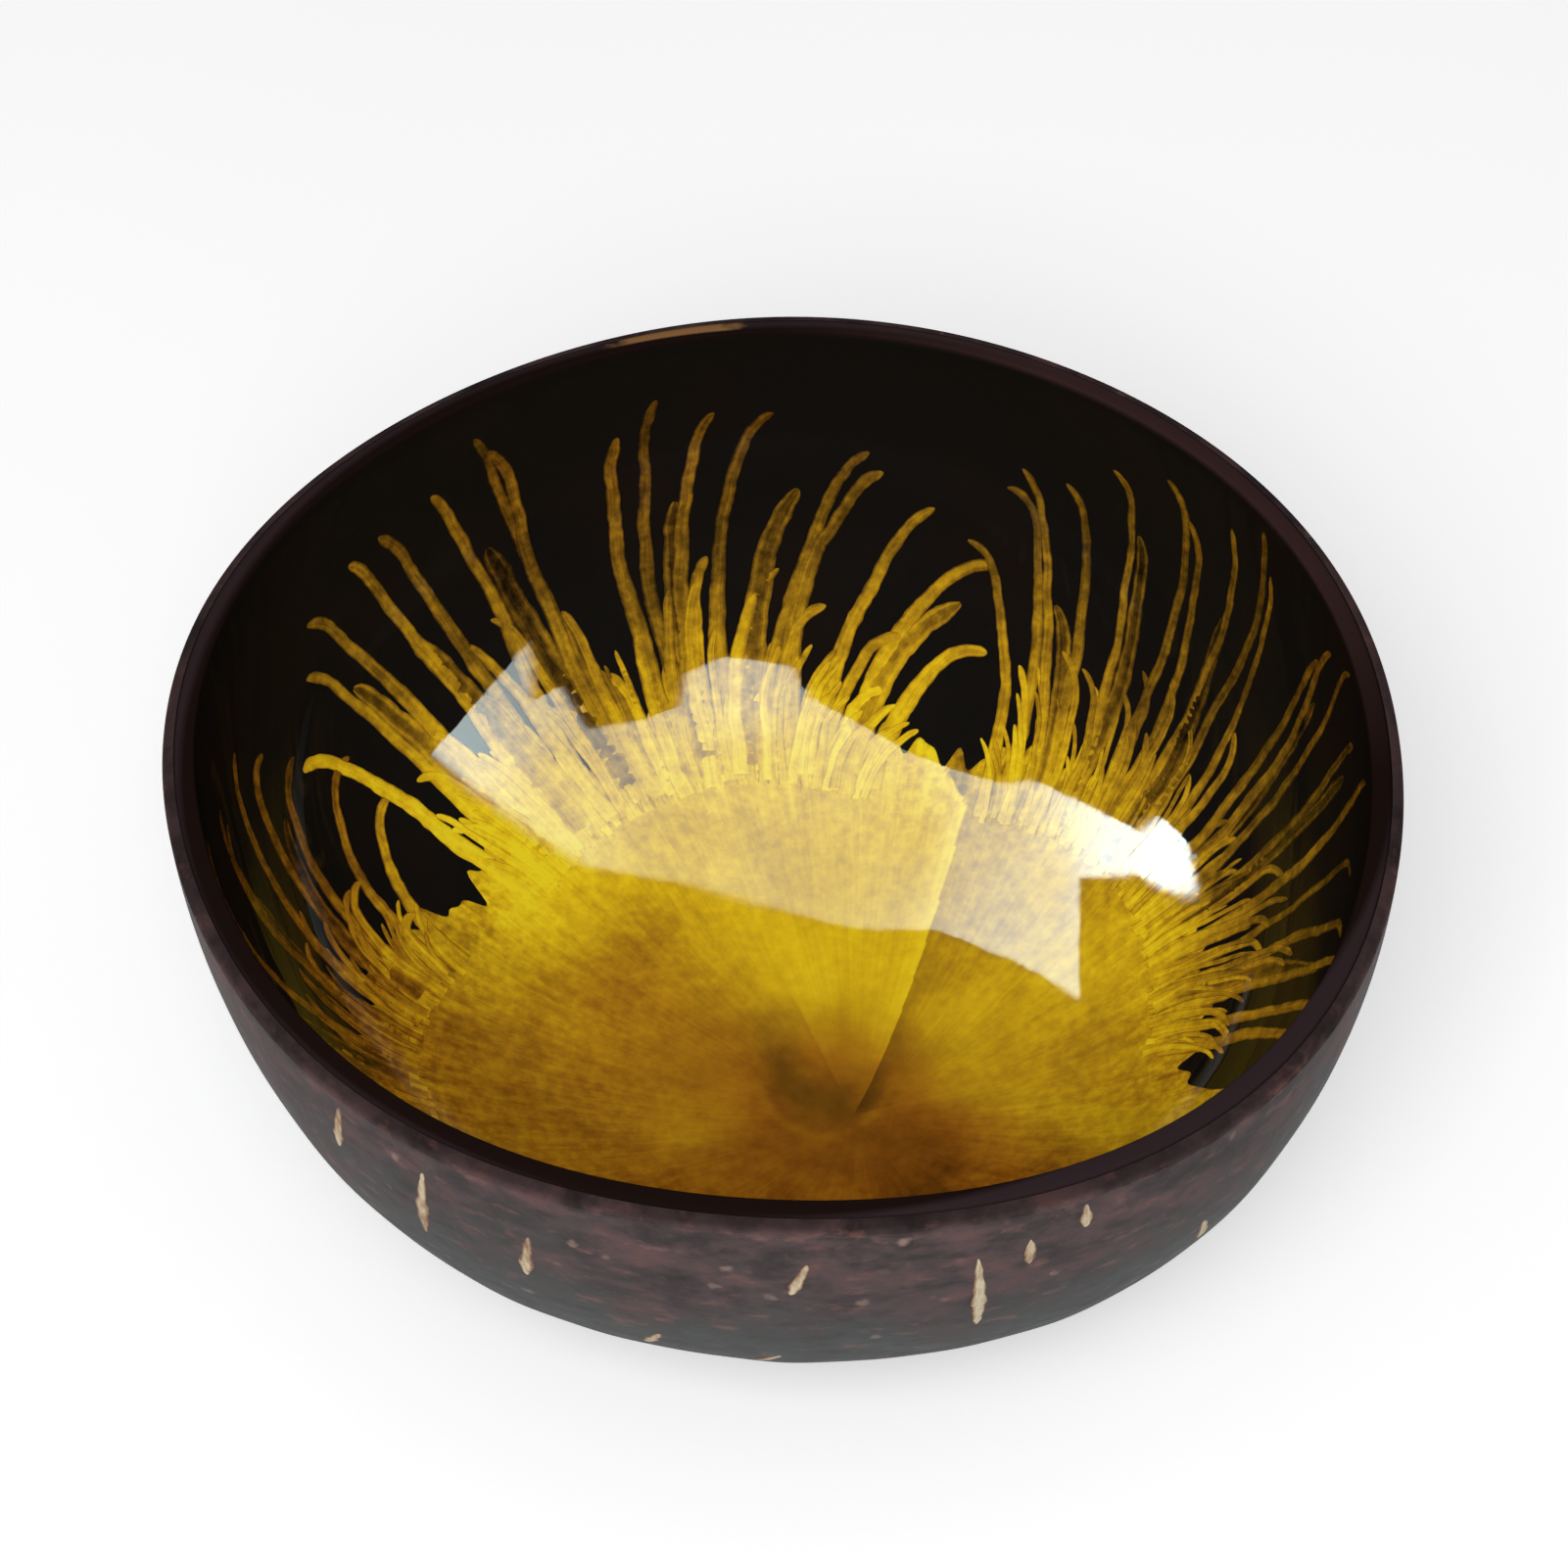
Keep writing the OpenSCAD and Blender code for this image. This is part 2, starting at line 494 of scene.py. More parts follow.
def turned_piece(name: str, rings: list, poles: tuple, material: bpy.types.Material) -> bpy.types.Object:
    """Build a closed turned piece from rings and two poles.

    Args:
        name: The piece's name.
        rings: Arrays of points, one ring each, from the first pole to the last.
        poles: First and last pole.
        material: The piece's material.

    Returns:
        The piece.
    """
    points = np.concatenate([*rings, np.array(poles, float)])
    piece = mesh_object(name, points, turned_faces(len(rings), len(rings[0])), material)
    point_outwards(piece)
    return piece


def point_outwards(piece: bpy.types.Object) -> float:
    """Turn a closed mesh's faces outwards.

    Args:
        piece: The piece.

    Returns:
        The volume that it encloses.
    """
    work = bmesh.new()
    work.from_mesh(piece.data)
    volume = work.calc_volume(signed=True)
    if volume < 0:
        bmesh.ops.reverse_faces(work, faces=work.faces)
        work.to_mesh(piece.data)
    work.free()
    return abs(volume)


def store(piece: bpy.types.Object, name: str, values: np.ndarray) -> None:
    """Store values on a mesh's points.

    Args:
        piece: The mesh object.
        name: The attribute's name.
        values: One number or one vector for each point.
    """
    vector = values.ndim == 2
    attribute = piece.data.attributes.new(name, "FLOAT_VECTOR" if vector else "FLOAT", "POINT")
    attribute.data.foreach_set("vector" if vector else "value", values.astype(np.float32).ravel())


@dataclass(frozen=True)
class CoconutSkin:
    """Polished coconut shell: a hard dark brown endocarp, sanded and rubbed with oil to a satin.

    It looks like pressed cork in dark stone colours, with pink-brown marks and few pale
    specks. What is given over MM is how many of a mark go into a millimetre.
    """

    dark: str = "#2b2223"
    umber: str = "#403535"
    mauve: str = "#544344"
    rose: str = "#694d4a"
    moss: str = "#444948"
    dash: str = "#8c625a"
    fleck: str = "#a08478"
    edge: str = "#251a1b"
    blotches: float = 0.15 / MM
    clouds: float = 0.06 / MM
    bundles: float = 0.43 / MM
    cells: float = 0.42 / MM
    cell_bends: float = 0.9 / MM
    grains: float = 0.7 / MM
    greening: float = 18.0
    edge_top: float = 0.25 * MM
    edge_foot: float = 0.9 * MM
    relief: float = 0.15 * MM

    def material(self, form: BowlForm, name: str, shine: float) -> bpy.types.Material:
        """Build the material.

        Args:
            form: The bowl's form, for the height of the rim's edge.
            name: The material's name.
            shine: Level of the satin shine.

        Returns:
            The material, in object coordinates.
        """
        material, w, shader = new_material(name)
        place = w.add("TexCoord", out="Object")
        height = w.add("SeparateXYZ", {0: place}, "Z")
        # Pressed cells make blotches of 3 to 7 mm, a little longer around the nut than up it.
        wide = w.add("Mapping", {"Vector": place, "Scale": (1.0, 1.0, 1.6)})
        blotch = w.add(
            "TexNoise", {"Vector": wide, "Scale": self.blotches, "Detail": 6.0, "Roughness": 0.62}
        )
        shades = ((0.30, self.dark), (0.43, self.umber), (0.54, self.mauve), (0.68, self.rose))
        colour = w.add("ValToRGB", {0: blotch}, stops=shades)
        # The nut is redder towards its middle, where it is sawn, and greener towards its end.
        cloud = w.add("TexNoise", {"Vector": place, "Scale": self.clouds, "Detail": 4.0})
        lower = w.add("Math", {0: height, 1: -self.greening, 2: cloud}, operation="MULTIPLY_ADD")
        mossy = w.add("MapRange", {0: lower, 1: -0.38, 2: -0.10, 3: 0.05, 4: 0.85})
        # Soft pink-brown patches of 2 to 4 mm are ends of fibre bundles, with dark pits between them.
        flat = w.add("Mapping", {"Vector": place, "Scale": (0.6, 0.6, 1.2)})
        ends = w.add("TexNoise", {"Vector": flat, "Scale": self.bundles, "Detail": 4.0, "Roughness": 0.6})
        dashed = w.add("MapRange", {0: ends, 1: 0.57, 2: 0.72, 4: 0.48})
        pitted = w.add("MapRange", {0: ends, 1: 0.44, 2: 0.32, 4: 0.35})
        # Pale specks of 0.5 to 1 mm are cut cells, about one cell in fifteen.
        bend = w.add("TexNoise", {"Vector": place, "Scale": self.cell_bends, "Detail": 1.0}, "Color")
        bent = w.add("VectorMath", {0: bend, 1: (1.2 * MM,) * 3, 2: place}, operation="MULTIPLY_ADD")
        apart = w.add("TexVoronoi", {"Vector": bent, "Scale": self.cells, "Randomness": 1.0}, "Distance")
        rare = w.add("TexWhiteNoise", {"Vector": apart.node.outputs["Position"]}, noise_dimensions="3D")
        near = w.add("MapRange", {0: apart, 1: 0.34, 2: 0.12, 4: 0.7})
        chosen = w.add("MapRange", {0: rare, 1: 0.93, 2: 1.0})
        specked = w.add("Math", {0: near, 1: chosen}, operation="MULTIPLY")
        # The eased edge is dark where lacquer has soaked into the sawn shell.
        top = form.rim_height
        edged = w.add("MapRange", {0: height, 1: top - self.edge_foot, 2: top - self.edge_top, 4: 0.55})
        for share, code in (
            (mossy, self.moss),
            (dashed, self.dash),
            (pitted, self.dark),
            (specked, self.fleck),
            (edged, self.edge),
        ):
            colour = w.add("Mix", {"Factor": share, 6: colour, 7: code}, 2, data_type="RGBA")
        tall = w.add("Mapping", {"Vector": place, "Scale": (1.0, 1.0, 0.18)})
        grain = w.add("TexNoise", {"Vector": tall, "Scale": self.grains, "Detail": 4.0, "Roughness": 0.6})
        relief = w.add("Math", {0: grain, 1: blotch}, operation="ADD")
        rough = w.add("MapRange", {0: blotch, 1: 0.3, 2: 0.7, 3: 0.42, 4: 0.6})
        bump = w.add("Bump", {"Strength": 0.5, "Distance": self.relief, "Height": relief})
        w.feed(
            shader,
            {"Base Color": colour, "Roughness": rough, "Normal": bump, "Specular IOR Level": shine},
        )
        return material


@dataclass(frozen=True)
class CoconutFibre:
    """Coir fibre: tan bundles of the husk that stay in the skin after sanding, matt and streaky."""

    pale: str = "#d2c3a4"
    tan: str = "#a98c6d"
    red: str = "#7c5a4e"
    strands: float = 2.2 / MM
    relief: float = 0.1 * MM

    def material(self) -> bpy.types.Material:
        """Build the material from the fibre's own along and across attributes."""
        material, w, shader = new_material("tan_coir_fibre")
        place = w.add("TexCoord", out="Object")
        along, across = (w.add("Attribute", out="Fac", attribute_name=name) for name in ("along", "across"))
        # Strands in a bundle are 0.2 to 0.4 mm wide and run up the nut.
        tall = w.add("Mapping", {"Vector": place, "Scale": (1.0, 1.0, 0.2)})
        strand = w.add("TexNoise", {"Vector": tall, "Scale": self.strands, "Detail": 3.0})
        # Towards its sides a fibre runs to tan and red: partly its own redder edge, partly a painted shadow
        # around it where it meets the skin.
        side = w.add("Math", {0: across}, operation="ABSOLUTE")
        edge = w.add("MapRange", {0: side, 1: 0.45, 2: 1.0, 4: 0.5})
        worn = w.add("Math", {0: strand, 1: along}, operation="ADD")
        mixed = w.add("Math", {0: worn, 1: edge}, operation="ADD")
        shades = ((0.42, self.pale), (0.72, self.tan), (0.98, self.red))
        colour = w.add("ValToRGB", {0: mixed}, stops=shades)
        bump = w.add("Bump", {"Strength": 0.5, "Distance": self.relief, "Height": strand})
        w.feed(shader, {"Base Color": colour, "Roughness": 0.75, "Specular IOR Level": 0.3, "Normal": bump})
        return material


@dataclass(frozen=True)
class BlackLacquer:
    """Black lacquer: brushed and rubbed resin under a clear gloss coat, nearly a mirror and warm black.

    Turns are directions around the axis at which the rim is worn through or browner on its top.
    """

    black: str = "#161412"
    rim: str = "#1c1210"
    rubbed: str = "#432f2e"
    outer: str = "#33272a"
    worn: str = "#1d1510"
    bare: str = "#8d6640"
    worn_turn: float = math.radians(101.0)
    worn_width: float = math.radians(6.5)
    worn_edge: tuple = (0.06, 0.02)
    brown_turn: float = math.radians(42.0)
    brown_reach: tuple = (0.85, 0.35)
    clouds: float = 0.06 / MM
    chips: float = 0.5 / MM
    peels: float = 0.24 / MM
    relief: float = 0.1 * MM
    gloss: float = 0.3
    high_gloss: float = 0.03

    def material(self, form: BowlForm) -> bpy.types.Material:
        """Build the material.

        Args:
            form: The bowl's form, for the rim's height and radius.

        Returns:
            The material, in object coordinates.
        """
        material, w, shader = new_material("black_gloss_lacquer")
        place = w.add("TexCoord", out="Object")
        cloud = w.add("TexNoise", {"Vector": place, "Scale": self.clouds, "Detail": 3.0})
        body = w.add("ValToRGB", {0: cloud}, stops=((0.45, self.black), (0.80, self.worn)))
        x, y, z = w.add("SeparateXYZ", {0: place}).node.outputs
        turn = w.add("Math", {0: y, 1: x}, operation="ARCTAN2")
        flat = w.add("CombineXYZ", {0: x, 1: y})
        out = w.add("VectorMath", {0: flat}, "Value", operation="LENGTH")
        away = (
            w.add("Math", {0: turn, 1: middle}, operation="SUBTRACT")
            for middle in (self.worn_turn, self.brown_turn)
        )
        from_worn, from_brown = (w.add("Math", {0: angle}, operation="ABSOLUTE") for angle in away)
        # The coat is worn through to the shell on one stretch of the rim, with chipped ends.
        chips = w.add("TexNoise", {"Vector": place, "Scale": self.chips, "Detail": 3.0})
        grown = w.add("Math", {0: chips, 1: 0.10, 2: from_worn}, operation="MULTIPLY_ADD")
        start, end = (self.worn_width + more for more in self.worn_edge)
        stretch = w.add("MapRange", {0: grown, 1: start, 2: end})
        band = form.mouth_radius + 0.5 * MM
        banded = w.add("MapRange", {0: out, 1: band, 2: band + 0.3 * MM})
        bared = w.add("Math", {0: stretch, 1: banded}, operation="MULTIPLY")
        # On the sawn rim the colour is near black, browner towards its outer side and mauve-brown over a
        # stretch around one turn.
        top, side = form.rim_height, form.coat_radius
        rimmed = w.add("MapRange", {0: z, 1: top - 0.6 * MM, 2: top + 0.2 * MM})
        outward = w.add("MapRange", {0: out, 1: side - 1.2 * MM, 2: side - 0.4 * MM, 4: 0.85})
        far, close = self.brown_reach
        browned = w.add("MapRange", {0: from_brown, 1: far, 2: close, 4: 0.6})
        face = self.rim
        for share, code in ((outward, self.outer), (browned, self.rubbed)):
            face = w.add("Mix", {"Factor": share, 6: face, 7: code}, 2, data_type="RGBA")
        colour = body
        for share, over in ((rimmed, face), (bared, self.bare)):
            colour = w.add("Mix", {"Factor": share, 6: colour, 7: over}, 2, data_type="RGBA")
        # The gloss coat is thick low in the hollow, thin above it and rubbed off near the rim.
        glossy = w.add("MapRange", {0: z, 1: 0.45 * top, 2: 0.62 * top, 3: self.gloss, 4: self.high_gloss})
        kept = w.add("MapRange", {0: z, 1: top - 2.2 * MM, 2: top - 1.0 * MM, 3: 1.0, 4: 0.0})
        gloss = w.add("Math", {0: glossy, 1: kept}, operation="MULTIPLY")
        # Rubbing leaves a faint orange peel of about 4 mm.
        peel = w.add("TexNoise", {"Vector": place, "Scale": self.peels, "Detail": 1.0})
        bump = w.add("Bump", {"Strength": 0.12, "Distance": self.relief, "Height": peel})
        w.feed(
            shader,
            {
                "Base Color": colour,
                "Roughness": 0.5,
                "Specular IOR Level": 0.0,
                "Normal": bump,
                "Coat Weight": gloss,
                "Coat Roughness": 0.02,
                "Coat Normal": bump,
            },
        )
        return material


@dataclass(frozen=True)
class GoldLacquer:
    """Gold lacquer: yellow mica in clear resin, brushed on black, so it is olive or brown where it is thin.

    Its colours run from a trace of mica on black to a full coat, once as a thin olive
    film and once as a warm brown one.
    """

    places: tuple = (0.0, 0.12, 0.25, 0.38, 0.50, 0.62, 0.74, 0.86, 1.0)
    thin: tuple = (
        "#14110a", "#37290d", "#5b4412", "#7f6118", "#a6801a", "#c79d1b", "#e2b91c", "#f5d01f", "#ffe528"
    )
    warm: tuple = (
        "#1a1007", "#40240a", "#6a3e0f", "#945915", "#b6781a", "#d1971c", "#e8b61c", "#f7ce1f", "#ffe52a"
    )
    pools: float = 0.11 / MM
    flakes: float = 0.7 / MM
    relief: float = 0.1 * MM
    gloss: float = 0.3

    def material(self) -> bpy.types.Material:
        """Build the material.

        Returns:
            The material, in object coordinates and the piece's own attributes.
        """
        material, w, shader = new_material("brushed_gold_lacquer")
        place = w.add("TexCoord", out="Object")
        level, warmth, grit, rail, across = (
            w.add("Attribute", out="Fac", attribute_name=name)
            for name in ("gold", "warmth", "grit", "rail", "across")
        )
        brush, wall = (w.add("Attribute", out="Vector", attribute_name=name) for name in ("brush", "wall"))
        # The paint pools in clouds of 5 to 10 mm.
        pool = w.add("TexNoise", {"Vector": place, "Scale": self.pools, "Detail": 4.0, "Roughness": 0.6})
        drift = w.add("MapRange", {0: pool, 1: 0.3, 2: 0.7, 3: -0.09, 4: 0.09})
        # The brush leaves lines of about 1 mm that run out from the centre and along each stroke.
        aside = w.add("VectorMath", {0: (1.5, 1.1, 0.0), "Scale": across}, operation="SCALE")
        comb = w.add("VectorMath", {0: brush, 1: aside}, operation="ADD")
        hair = w.add("TexNoise", {"Vector": comb, "Scale": 1.0, "Detail": 5.0, "Roughness": 0.7})
        # The mica gathers in a fuzzy grain of about 1 mm.
        mica = w.add("TexNoise", {"Vector": place, "Scale": self.flakes, "Detail": 3.0, "Roughness": 0.6})
        both = w.add("Math", {0: hair, 1: mica}, operation="ADD")
        spread = w.add("MapRange", {0: both, 1: 0.78, 2: 1.24, 3: -1.0, 4: 1.0})
        grain = w.add("Math", {0: spread, 1: grit}, operation="MULTIPLY")
        # A stroke thins out towards its edges, and a blade between its two rails.
        side = w.add("Math", {0: across}, operation="ABSOLUTE")
        edge = w.add("MapRange", {0: side, 1: 0.62, 2: 1.0, 4: -0.22})
        between = w.add("MapRange", {0: side, 1: 0.66, 2: 0.30, 4: -0.20})
        blade = w.add("Math", {0: between, 1: rail, 2: edge}, operation="MULTIPLY_ADD")
        for part in (drift, grain, blade):
            level = w.add("Math", {0: level, 1: part}, operation="ADD")
        thin, warm = (
            w.add("ValToRGB", {0: level}, stops=tuple(zip(self.places, colours)))
            for colours in (self.thin, self.warm)
        )
        colour = w.add("Mix", {"Factor": warmth, 6: thin, 7: warm}, 2, data_type="RGBA")
        bump = w.add("Bump", {"Strength": 0.4, "Distance": self.relief, "Height": both})
        # The gloss coat is levelled over the strokes, so it mirrors along the smooth wall.
        level_bump = {"Strength": 0.04, "Distance": self.relief, "Height": both, "Normal": wall}
        w.feed(
            shader,
            {
                "Base Color": colour,
                "Roughness": 0.5,
                "Specular IOR Level": 0.0,
                "Normal": bump,
                "Coat Weight": self.gloss,
                "Coat Roughness": 0.02,
                "Coat Normal": w.add("Bump", level_bump),
            },
        )
        return material


@dataclass
class CoconutShell:
    """Half of a coconut shell, sawn, ground flat below and polished outside."""

    form: BowlForm
    around: int = 360
    skin_rings: int = 84
    hollow_rings: int = 24
    bevel: float = 1.1 * MM
    foot_ease: float = 0.35 * MM
    mouth_ease: float = 0.3 * MM
    foot_shares: tuple = (0.05, 0.35, 0.7, 0.93)
    bevel_angles: tuple = (0, 22, 45, 68, 90)
    shine: float = 0.12

    def build(self, finish: CoconutSkin) -> bpy.types.Object:
        """Build the shell's closed mesh.

        Args:
            finish: The skin's finish.

        Returns:
            The shell.
        """
        form, turn = self.form, turns(self.around)
        rings = [form.ring(turn, form.foot_radius * share, 0.0) for share in self.foot_shares]
        rings.append(form.ring(turn, form.foot_radius - self.foot_ease, 0.0))
        for climb in np.linspace(0, 1, self.skin_rings)[1:] ** 1.1:
            points = form.skin(turn, np.full_like(turn, climb))
            if points[0, 2] < form.rim_height - 1.15 * self.bevel:
                rings.append(points)
        for angle in np.radians(self.bevel_angles):
            radius = form.rim_radius - self.bevel + self.bevel * math.cos(angle)
            rings.append(form.ring(turn, radius, form.rim_height - self.bevel * (1 - math.sin(angle))))
        rings.append(form.ring(turn, form.mouth_radius + self.mouth_ease, form.rim_height))
        rings += form.bare_rings(turn, np.linspace(1, 0.04, self.hollow_rings), 0.0)
        poles = ((0, 0, 0), (0, 0, form.floor))
        skin = finish.material(form, "polished_coconut_shell", self.shine)
        piece = turned_piece("coconut_shell", rings, poles, skin)
        # The sawn face and its eased edge are sanded but not polished.
        piece.data.materials.append(finish.material(form, "sanded_coconut_edge", 0.0))
        for face in piece.data.polygons:
            face.material_index = int(face.center.z > form.rim_height - self.bevel)
        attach(piece, ROOT)
        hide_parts("shell")
        return piece


@dataclass
class LacquerLining:
    """The black lacquer that lines the hollow and turns over the sawn rim, with its gloss coat.

    Each pair in crown is a share of the way out over the rim, and the share of the
    coat's thickness by which its top has sunk there.
    """

    form: BowlForm
    around: int = 360
    rings: int = 130
    under_rings: int = 30
    first_share: float = 0.015
    bead: float = 0.3 * MM
    bead_angles: tuple = (25, 50, 75, 90)
    crown: tuple = ((0.3, 0.0), (0.5, 0.02), (0.7, 0.15), (0.86, 0.45))
    seat: float = 0.1 * MM

    def build(self, finish: BlackLacquer) -> bpy.types.Object:
        """Build the lining's closed mesh.

        Args:
            finish: The lacquer's finish.

        Returns:
            The lining.
        """
        form, turn = self.form, turns(self.around)
        shares = self.first_share + (1 - self.first_share) * np.linspace(0, 1, self.rings)
        rings = [form.hollow(turn, np.full_like(turn, share)) for share in shares]
        top, inside, outside = form.coated_rim, form.lining_radius, form.coat_radius
        for angle in np.radians(self.bead_angles):
            radius = inside + self.bead * (1 - math.cos(angle))
            rings.append(form.ring(turn, radius, top - self.bead * (1 - math.sin(angle))))
        for share, sunk in self.crown:
            radius = inside + (outside - inside) * share
            rings.append(form.ring(turn, radius, top - (top - form.rim_height) * sunk))
        for radius in (outside, form.mouth_radius + self.seat):
            rings.append(form.ring(turn, radius, form.rim_height))
        rings += form.bare_rings(turn, np.linspace(0.97, 0.04, self.under_rings), self.seat)
        poles = (form.hollow(np.zeros(1), np.zeros(1))[0], (0, 0, form.floor + self.seat))
        piece = turned_piece("black_lining", rings, poles, finish.material(form))
        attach(piece, ROOT)
        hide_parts("ground_coat", "clear_topcoat")
        return piece


class Ribbons:
    """Sweeps flat strokes along guide lines with geometry nodes."""

    def __init__(self, name: str, crown: float, ridge: float, bead: float, bead_length: float) -> None:
        """Build the node tree.

        Args:
            name: The tree's name.
            crown: Height of a stroke as a share of its half width.
            ridge: Share of the height by which a stroke's middle lies below its ridges.
            bead: Share by which the width swells and shrinks.
            bead_length: Length of a swelling.
        """
        self.tree = bpy.data.node_groups.new(name, "GeometryNodeTree")
        self.values = {"Crown": crown, "Ridge": ridge, "Bead": bead, "Bead length": bead_length}
        face = self.tree.interface
        face.new_socket(name="Guides", in_out="INPUT", socket_type="NodeSocketGeometry")
        self.sockets = {
            key: face.new_socket(name=key, in_out="INPUT", socket_type="NodeSocketFloat")
            for key in self.values
        }
        self.finish = face.new_socket(name="Finish", in_out="INPUT", socket_type="NodeSocketMaterial")
        face.new_socket(name="Strokes", in_out="OUTPUT", socket_type="NodeSocketGeometry")
        self.wire()

    def wire(self) -> None:
        """Wire the tree: guides to curves, beads in their width, a flat profile, one mesh."""
        w = Wiring(self.tree)
        given = w.add("NodeGroupInput").node.outputs
        curve = w.add("GeometryNodeMeshToCurve", {"Mesh": given["Guides"]})
        wall, width = (
            w.add("GeometryNodeInputNamedAttribute", {"Name": name}, "Attribute", data_type=kind)
            for name, kind in (("wall_normal", "FLOAT_VECTOR"), ("half_width", "FLOAT"))
        )
        framed = w.add("GeometryNodeSetCurveNormal", {"Curve": curve, "Normal": wall}, mode="FREE")
        pitch = w.add("Math", {0: 1.0, 1: given["Bead length"]}, operation="DIVIDE")
        place = w.add("GeometryNodeInputPosition")
        noise = w.add("TexNoise", {"Vector": place, "Scale": pitch, "Detail": 1.0})
        centred = w.add("Math", {0: noise, 1: 0.5}, operation="SUBTRACT")
        swell = w.add("Math", {0: centred, 1: given["Bead"], 2: 1.0}, operation="MULTIPLY_ADD")
        radius = w.add("Math", {0: width, 1: swell}, operation="MULTIPLY")
        # The profile is a circle pressed flat: its x is the height on the wall, its y the place across.
        circle = w.add("GeometryNodeCurvePrimitiveCircle", {"Resolution": 12, "Radius": 1.0}, mode="RADIUS")
        x, y, _ = w.add("SeparateXYZ", {0: w.add("GeometryNodeInputPosition")}).node.outputs
        over = w.add("Math", {0: y, 1: 0.0}, operation="MAXIMUM")
        under = w.add("Math", {0: y, 1: 0.0}, operation="MINIMUM")
        blunt = w.add("Math", {0: over, 1: 0.45}, operation="POWER")
        square = w.add("Math", {0: over, 1: over}, operation="MULTIPLY")
        dip = w.add("Math", {0: square, 1: given["Ridge"]}, operation="MULTIPLY")
        left = w.add("Math", {0: 1.0, 1: dip}, operation="SUBTRACT")
        rise = w.add("Math", {0: blunt, 1: left}, operation="MULTIPLY")
        both = w.add("Math", {0: rise, 1: under}, operation="ADD")
        height = w.add("Math", {0: both, 1: given["Crown"]}, operation="MULTIPLY")
        across = w.add("Math", {0: x, 1: -1.0}, operation="MULTIPLY")
        flat = w.add("CombineXYZ", {0: height, 1: across})
        named = w.add(
            "GeometryNodeStoreNamedAttribute",
            {"Geometry": circle, "Name": "across", "Value": across},
            data_type="FLOAT",
            domain="POINT",
        )
        profile = w.add("GeometryNodeSetPosition", {"Geometry": named, "Position": flat})
        swept = w.add(
            "GeometryNodeCurveToMesh",
            {"Curve": framed, "Profile Curve": profile, "Scale": radius, "Fill Caps": True},
        )
        smooth = w.add("GeometryNodeSetShadeSmooth", {"Geometry": swept})
        real = w.add("GeometryNodeRealizeInstances", {"Geometry": smooth})
        done = w.add("GeometryNodeSetMaterial", {"Geometry": real, "Material": given["Finish"]})
        w.add("NodeGroupOutput", {"Strokes": done})

    def sweep(self, name: str, guides: list, material: bpy.types.Material) -> bpy.types.Object:
        """Sweep guide lines into one mesh piece.

        Args:
            name: The piece's name.
            guides: Lines, each with its points, normals, half widths and further values.
            material: The piece's material.

        Returns:
            The piece, as a plain mesh.
        """
        edges, start = [], 0
        for guide in guides:
            count = len(guide["points"])
            edges += [(start + i, start + i + 1) for i in range(count - 1)]
            start += count
        mesh = bpy.data.meshes.new(name + "_guides")
        mesh.from_pydata(np.concatenate([guide["points"] for guide in guides]).tolist(), edges, [])
        holder = bpy.data.objects.new(name + "_guides", mesh)
        bpy.context.scene.collection.objects.link(holder)
        for key in guides[0]:
            if key != "points":
                store(holder, key, np.concatenate([guide[key] for guide in guides]))
        modifier = holder.modifiers.new("ribbons", "NODES")
        modifier.node_group = self.tree
        for key, value in self.values.items():
            modifier[self.sockets[key].identifier] = value
        modifier[self.finish.identifier] = material
        evaluated = holder.evaluated_get(bpy.context.evaluated_depsgraph_get())
        plain = bpy.data.meshes.new_from_object(evaluated)
        holder.modifiers.remove(modifier)
        bpy.data.objects.remove(holder)
        plain.name = name
        piece = bpy.data.objects.new(name, plain)
        bpy.context.scene.collection.objects.link(piece)
        LOG.info("%s holds %.1f mm3", name, point_outwards(piece) / MM**3)
        return piece


